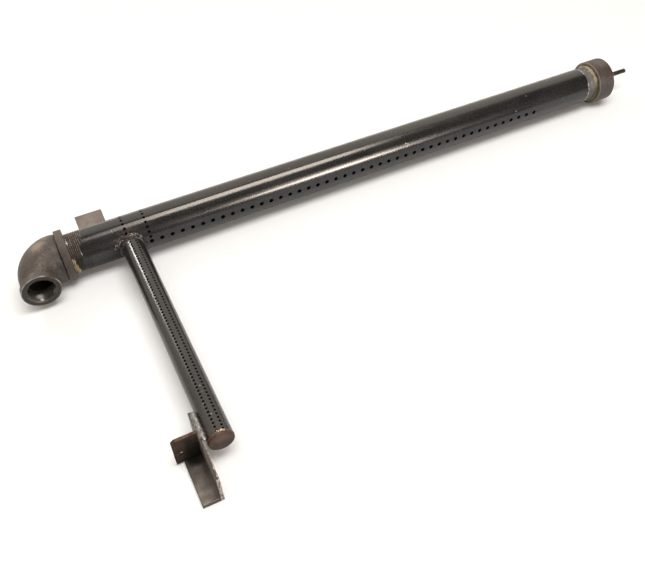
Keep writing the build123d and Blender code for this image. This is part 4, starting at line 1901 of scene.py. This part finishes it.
# ============================================================ the whole burner
@dataclass
class Burner:
    """The dressed burner."""

    frame: dict
    places: Places
    shop: Workshop

    def dress(self, node: str, finish: Material) -> None:
        """Gives a solid its finish.

        Args:
            node: the solid's name.
            finish: the material.
        """
        for slot in self.frame["nodes"][node].material_slots:
            slot.material = finish
        LOG.info("%s: dressed in %s", node, finish.name)

    def fitting_finishes(self) -> tuple[Material, Material]:
        """The elbow's and the cap's cast finishes.

        Returns:
            The two materials.
        """
        face, mouth = self.places.elbow_face, self.places.inlet_mouth
        band, inlet_band, soft = 9.3 * MM, 7.7 * MM, 0.3 * MM
        inlet_reach, bore_reach = 22.5 * MM, BORE_RADIUS
        # pale paints highlights on the band's edges, dirt paints shade in the creases at the band roots, and
        # warm paints a highlight on the outer bend.
        pale, dirt, warm = (0.22, 0.185, 0.155), (0.008, 0.006, 0.005), (0.27, 0.2, 0.145)
        rim_highlight, bore_edge_highlight, face_shade = (0.42, 0.37, 0.32), (0.46, 0.41, 0.36), (0.009, 0.007, 0.006)
        crisp = 0.15 * MM
        elbow = CastSkin("elbow_cast_skin").material(
            lines=(
                # Pale lines on the band's edges: painted highlights.
                Line("x", face - 0.7 * MM, face + 0.5 * MM, soft, pale, 0.5, broken=260.0),
                Line("x", face - band + 0.1 * MM, face - band + 0.8 * MM, soft, pale, 0.35, broken=300.0),
                # Dark lines in the creases at the band roots: painted shade.
                Line("x", face - band - 0.7 * MM, face - band - 0.1 * MM, soft, dirt, 0.4),
                Line("y", mouth + inlet_band + 0.1 * MM, mouth + inlet_band + 0.8 * MM, soft, dirt, 0.55),
                # Pale lines at the mouth's outer and inner edges: painted highlights.
                Line("mouth", inlet_reach - 0.9 * MM, inlet_reach + 0.2 * MM, crisp, rim_highlight, 0.9,
                     broken=90.0),
                Line("mouth", bore_reach - 0.2 * MM, bore_reach + 0.8 * MM, crisp, bore_edge_highlight, 0.9,
                     broken=90.0),
                # The darker middle of the mouth's face: painted shade.
                Line("mouth", bore_reach + 1.3 * MM, inlet_reach - 1.4 * MM, 0.4 * MM, face_shade, 0.9),
            ),
            patches=(
                # Pale warm patches on the outer bend's upper left: painted highlights.
                Patch(Vector((0.011, 0.0455, 0.0275)), 8 * MM, 5 * MM, warm, 0.7, ragged=13 * MM),
                Patch(Vector((0.022, 0.054, 0.027)), 4 * MM, 3 * MM, warm, 0.4, ragged=8 * MM),
                Patch(Vector((0.03, 0.02, 0.012)), 12 * MM, 7 * MM, (0.024, 0.019, 0.0155), 0.5,
                      ragged=10 * MM),
                Patch(Vector((0.0, 0.028, 0.024)), 9 * MM, 7 * MM, (0.026, 0.019, 0.015), 0.5,
                      ragged=10 * MM),
            ),
            places=self.places,
        )
        rim = self.places.cap.start
        cap = CastSkin("cap_cast_skin", dark=(0.02, 0.0138, 0.0115), light=(0.066, 0.046, 0.038),
                       edge=(0.2, 0.165, 0.145), rough=0.38).material(
            lines=(
                # Pale line on the rim: a painted highlight.
                Line("x", rim - 0.1 * MM, rim + 0.6 * MM, 0.2 * MM, (0.27, 0.225, 0.19), 0.75),
                # Pale line on the step's edge and a dark band below it: painted highlight and painted shade
                # of the step.
                Line("x", rim + 24.1 * MM, rim + 25.1 * MM, soft, (0.13, 0.1, 0.085), 0.6, broken=200.0),
                Line("x", rim + 25.2 * MM, rim + 27.5 * MM, 0.6 * MM, (0.014, 0.01, 0.0085), 0.8),
            ),
            patches=(
                Patch(Vector((0.8216, 0.0436, 0.0297)), 9 * MM, 5 * MM, (0.14, 0.105, 0.088), 0.45,
                      ragged=16 * MM),
                Patch(Vector((0.812, 0.02, 0.014)), 6 * MM, 4 * MM, (0.11, 0.085, 0.08), 0.4,
                      ragged=12 * MM),
            ),
            places=self.places,
        )
        return elbow, cap

    def bracket_finishes(self) -> tuple[Material, Material, Material, Material]:
        """The finishes of the angle, the tab, the pilot bracket and the end disc.

        Returns:
            The four materials.
        """
        low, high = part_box("support_angle")
        web = high.x - 3.2 * MM
        angle = RolledSteel(
            "angle_steel", dark=(0.08, 0.068, 0.06), light=(0.205, 0.178, 0.153), stain=(0.045, 0.028, 0.02),
            cut=(low.y + 0.9 * MM, low.y + 0.3 * MM), cut_beyond=web,
            lines=(
                Line("z", high.z - 1.5 * MM, high.z + 1.0 * MM, 0.5 * MM, (0.025, 0.0155, 0.0115), 0.88),
                Line("x", low.x - 1.0 * MM, low.x + 0.9 * MM, 0.4 * MM, (0.035, 0.026, 0.02), 0.8),
                # Darker band on the foot beside the web and on the web's inner face: painted shade in the
                # corner.
                Line("x", web - 3.5 * MM, web + 0.1 * MM, 1.6 * MM, (0.04, 0.028, 0.021), 0.55),
                Line("y", low.y - 1.0 * MM, low.y + 0.8 * MM, 0.4 * MM, (0.03, 0.022, 0.018), 0.8),
                Line("x", high.x - 0.6 * MM, high.x + 1.0 * MM, 0.15 * MM, (0.6, 0.55, 0.5), 0.85,
                     broken=520.0),
            ),
            patches=(
                Patch(Vector((low.x + 8 * MM, high.y - 40 * MM, low.z + 3 * MM)), 18 * MM, 12 * MM,
                      (0.05, 0.038, 0.03), 0.35, ragged=14 * MM),
                Patch(Vector((high.x - 10 * MM, -0.262, low.z + 4 * MM)), 9 * MM, 4 * MM,
                      (0.008, 0.0085, 0.007), 0.92,
                      ragged=12 * MM),
            ),
        ).material()
        tab_low, tab_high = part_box("rear_tab")
        tab = RolledSteel(
            "tab_steel", dark=(0.135, 0.108, 0.09), light=(0.21, 0.172, 0.146), stain=(0.085, 0.062, 0.05),
            metallic=0.15, rough=0.55,
            lines=(
                Line("y", tab_high.y - 1.3 * MM, tab_high.y + 1.0 * MM, 0.4 * MM, (0.05, 0.038, 0.031), 0.7,
                     broken=120.0),
                Line("x", tab_low.x - 1.0 * MM, tab_low.x + 0.9 * MM, 0.4 * MM, (0.06, 0.045, 0.038), 0.6),
                Line("x", tab_high.x - 0.9 * MM, tab_high.x + 1.0 * MM, 0.4 * MM, (0.04, 0.03, 0.025), 0.8),
            ),
        ).material()
        plate_low, plate_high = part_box("pilot_bracket")
        hole = Vector((plate_low.x + 6.8 * MM, plate_low.y, -13.8 * MM))
        plate = RolledSteel(
            "burnt_plate", dark=(0.02, 0.011, 0.0075), light=(0.07, 0.036, 0.023),
            stain=(0.009, 0.0105, 0.008),
            stain_share=0.6, metallic=0.1, rough=0.75, reflectance=0.3,
            # Pale top edge: a painted highlight.
            lines=(Line("z", plate_high.z - 0.9 * MM, plate_high.z + 1.0 * MM, 0.4 * MM, (0.16, 0.1, 0.068),
                        0.7,
                        broken=180.0),),
            patches=(
                Patch(Vector((plate_high.x - 5 * MM, plate_low.y, plate_low.z + 6 * MM)), 13 * MM, 6 * MM,
                      (0.0085, 0.01, 0.008), 0.85, ragged=9 * MM),
                # Bright spots at the rim of the hole: painted highlights.
                Patch(hole + Vector((0.6 * MM, 0, 2.9 * MM)), 1.1 * MM, 0.5 * MM, (0.75, 0.7, 0.62), 0.9),
                Patch(hole + Vector((-2.4 * MM, 0, 1.4 * MM)), 0.6 * MM, 0.4 * MM, (0.4, 0.33, 0.27), 0.7),
            ),
        ).material()
        branch = self.places.branch
        disc = RolledSteel(
            "disc_steel", dark=(0.034, 0.0155, 0.0085), light=(0.1, 0.046, 0.025),
            stain=(0.018, 0.0105, 0.0065),
            stain_share=0.55, metallic=0.15, rough=0.5, reflectance=0.35,
            patches=(
                Patch(Vector((branch.centre.x, branch.start - 3 * MM, 6 * MM)), 6 * MM, 4 * MM,
                      (0.17, 0.1, 0.062), 0.5,
                      ragged=9 * MM),
                Patch(Vector((branch.centre.x + 7 * MM, branch.start - 3 * MM, -6 * MM)), 5 * MM, 3 * MM,
                      (0.022, 0.014, 0.01), 0.7, ragged=8 * MM),
            ),
        ).material()
        return angle, tab, plate, disc

    def weld_finishes(self) -> dict[str, Material]:
        """The finishes of weld metal and torn edges.

        Returns:
            The materials by name.
        """
        finishes = (
            WeldMetal("bright_weld", bright=(0.26, 0.265, 0.262), dull=(0.1, 0.099, 0.096), tint_share=0.08),
            WeldMetal("saddle_weld", bright=(0.045, 0.039, 0.036), dull=(0.006, 0.005, 0.0045),
                      tint=(0.02, 0.012, 0.0095), metallic=0.3),
            WeldMetal("tinted_weld", bright=(0.17, 0.14, 0.12), dull=(0.035, 0.026, 0.021)),
            WeldMetal("brown_weld", bright=(0.07, 0.045, 0.038), dull=(0.02, 0.0115, 0.009),
                      tint=(0.05, 0.022, 0.016), metallic=0.2),
            # Pale metal for painted highlights along the saddle weld's toes, rim and specks.
            WeldMetal("toe_highlight_metal", bright=(0.6, 0.56, 0.52), dull=(0.14, 0.12, 0.105), tint_share=0.2),
            # Bright metal for painted highlights on the end disc's seam.
            WeldMetal("speck_glint_metal", bright=(0.9, 0.74, 0.58), dull=(0.5, 0.33, 0.2), tint_share=0.15,
                      metallic=0.2),
            WeldMetal("bare_edge", bright=(0.6, 0.56, 0.52), dull=(0.16, 0.12, 0.1), tint_share=0.25),
        )
        return {finish.name: finish.material() for finish in finishes}

    def thread_finishes(self) -> tuple[Material, Material, Material]:
        """The finishes of the threads at the elbow, at the cap and in the tapped inlet.

        Returns:
            The three materials.
        """
        pipe = self.places.pipe
        root = pipe.radius - THREAD_DEPTH
        at_elbow = CutThread("thread_steel", pipe.centre.y, root, pipe.radius,
                             slanting_end=pipe.start + INLET_THREAD)
        at_cap = CutThread("worn_thread", pipe.centre.y, root, pipe.radius - 0.4 * MM,
                           dark=(0.07, 0.064, 0.06), pale=(0.75, 0.73, 0.71), rust=(0.13, 0.119, 0.112),
                           top_highlight_from=(-40 * MM, -30 * MM), reflectance=0.5, streaked=0.85)
        tapped = RolledSteel(
            "tapped_steel", dark=(0.035, 0.032, 0.027), light=(0.16, 0.152, 0.135),
            stain=(0.014, 0.012, 0.01),
            rough=0.36, metallic=0.5,
            patches=(
                # Bright streaks and a paler speck low in the tapped thread: painted highlights.
                Patch(Vector((-0.0047, 0.0085, -0.0151)), 3.4 * MM, 2.0 * MM, (0.85, 0.84, 0.8), 0.95,
                      ragged=7 * MM),
                Patch(Vector((-0.0035, 0.003, -0.0151)), 1.8 * MM, 1.0 * MM, (0.9, 0.9, 0.86), 0.9,
                      ragged=4 * MM),
                Patch(Vector((0.0125, 0.004, -0.0085)), 2.6 * MM, 2.0 * MM, (0.4, 0.36, 0.3), 0.8,
                      ragged=6 * MM),
            ),
        )
        return at_elbow.material(), at_cap.material(), tapped.material()

    def sealant_finishes(self) -> list[Material]:
        """The finishes of the sealant.

        Returns:
            The paste, its dark filling, the olive patch, the yellow strands and the chalk.
        """
        finishes = (
            Sealant("thread_paste", turn=(9 * MM, 22 * MM), dirty_from=self.places.cap.start - 4.2 * MM),
            Sealant("dark_paste", pale=(0.13, 0.095, 0.055), deep=(0.12, 0.1, 0.045),
                    grime=(0.06, 0.048, 0.026)),
            Sealant("olive_paste", pale=(0.12, 0.092, 0.042), deep=(0.07, 0.05, 0.022),
                    turn=(-14 * MM, 8 * MM)),
            Sealant("yellow_paste", pale=(0.8, 0.66, 0.36), deep=(0.6, 0.46, 0.18),
                    turn=(-14 * MM, 12 * MM)),
            Sealant("dry_chalk", pale=(0.85, 0.83, 0.78), deep=(0.8, 0.78, 0.72), grime=(0.5, 0.46, 0.4)),
        )
        return [finish.material() for finish in finishes]

    def build(self) -> None:
        """Dresses the solids and adds every modelled piece."""
        places, shop = self.places, self.shop
        elbow_skin, cap_skin = self.fitting_finishes()
        angle_steel, tab_steel, burnt_plate, disc_steel = self.bracket_finishes()
        for node, finish in (
            ("main_pipe", BlackPipe("main_pipe_scale", Axis.X, places).material()),
            ("branch_tube", BlackPipe("branch_scale", Axis.Y, places).material()),
            ("inlet_elbow", elbow_skin),
            ("end_cap", cap_skin),
            ("locating_pin", PinSteel("pin_rod").material()),
            ("branch_end_disc", disc_steel),
            ("support_angle", angle_steel),
            ("pilot_bracket", burnt_plate),
            ("rear_tab", tab_steel),
        ):
            self.dress(node, finish)
        weld = self.weld_finishes()
        PipeThreads(places, shop).build(*self.thread_finishes())
        SaddleWeld(places, shop).build(weld["saddle_weld"], weld["toe_highlight_metal"])
        BranchEnd(places, shop).build(weld["tinted_weld"], weld["speck_glint_metal"])
        PinFoot(places, shop).build(weld["brown_weld"])
        Brackets(places, shop).build(weld["bright_weld"], weld["tinted_weld"], weld["bare_edge"])
        ThreadSealant(places, shop).build(*self.sealant_finishes())
        Scar(places, shop).build(weld["bare_edge"])


def main() -> None:
    """Builds the burner and its studio."""
    logging.basicConfig(level=logging.INFO, format="%(name)s %(message)s")
    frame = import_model()
    bpy.context.view_layer.update()
    burner = Burner(frame, Places.read(), Workshop())
    burner.build()
    Studio(burner.places.floor).build()
    bpy.context.scene.view_settings.view_transform = "Standard"
    bpy.context.view_layer.update()
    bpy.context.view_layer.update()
    LOG.info("%d pieces modelled", burner.shop.made)


if __name__ == "__main__":
    main()
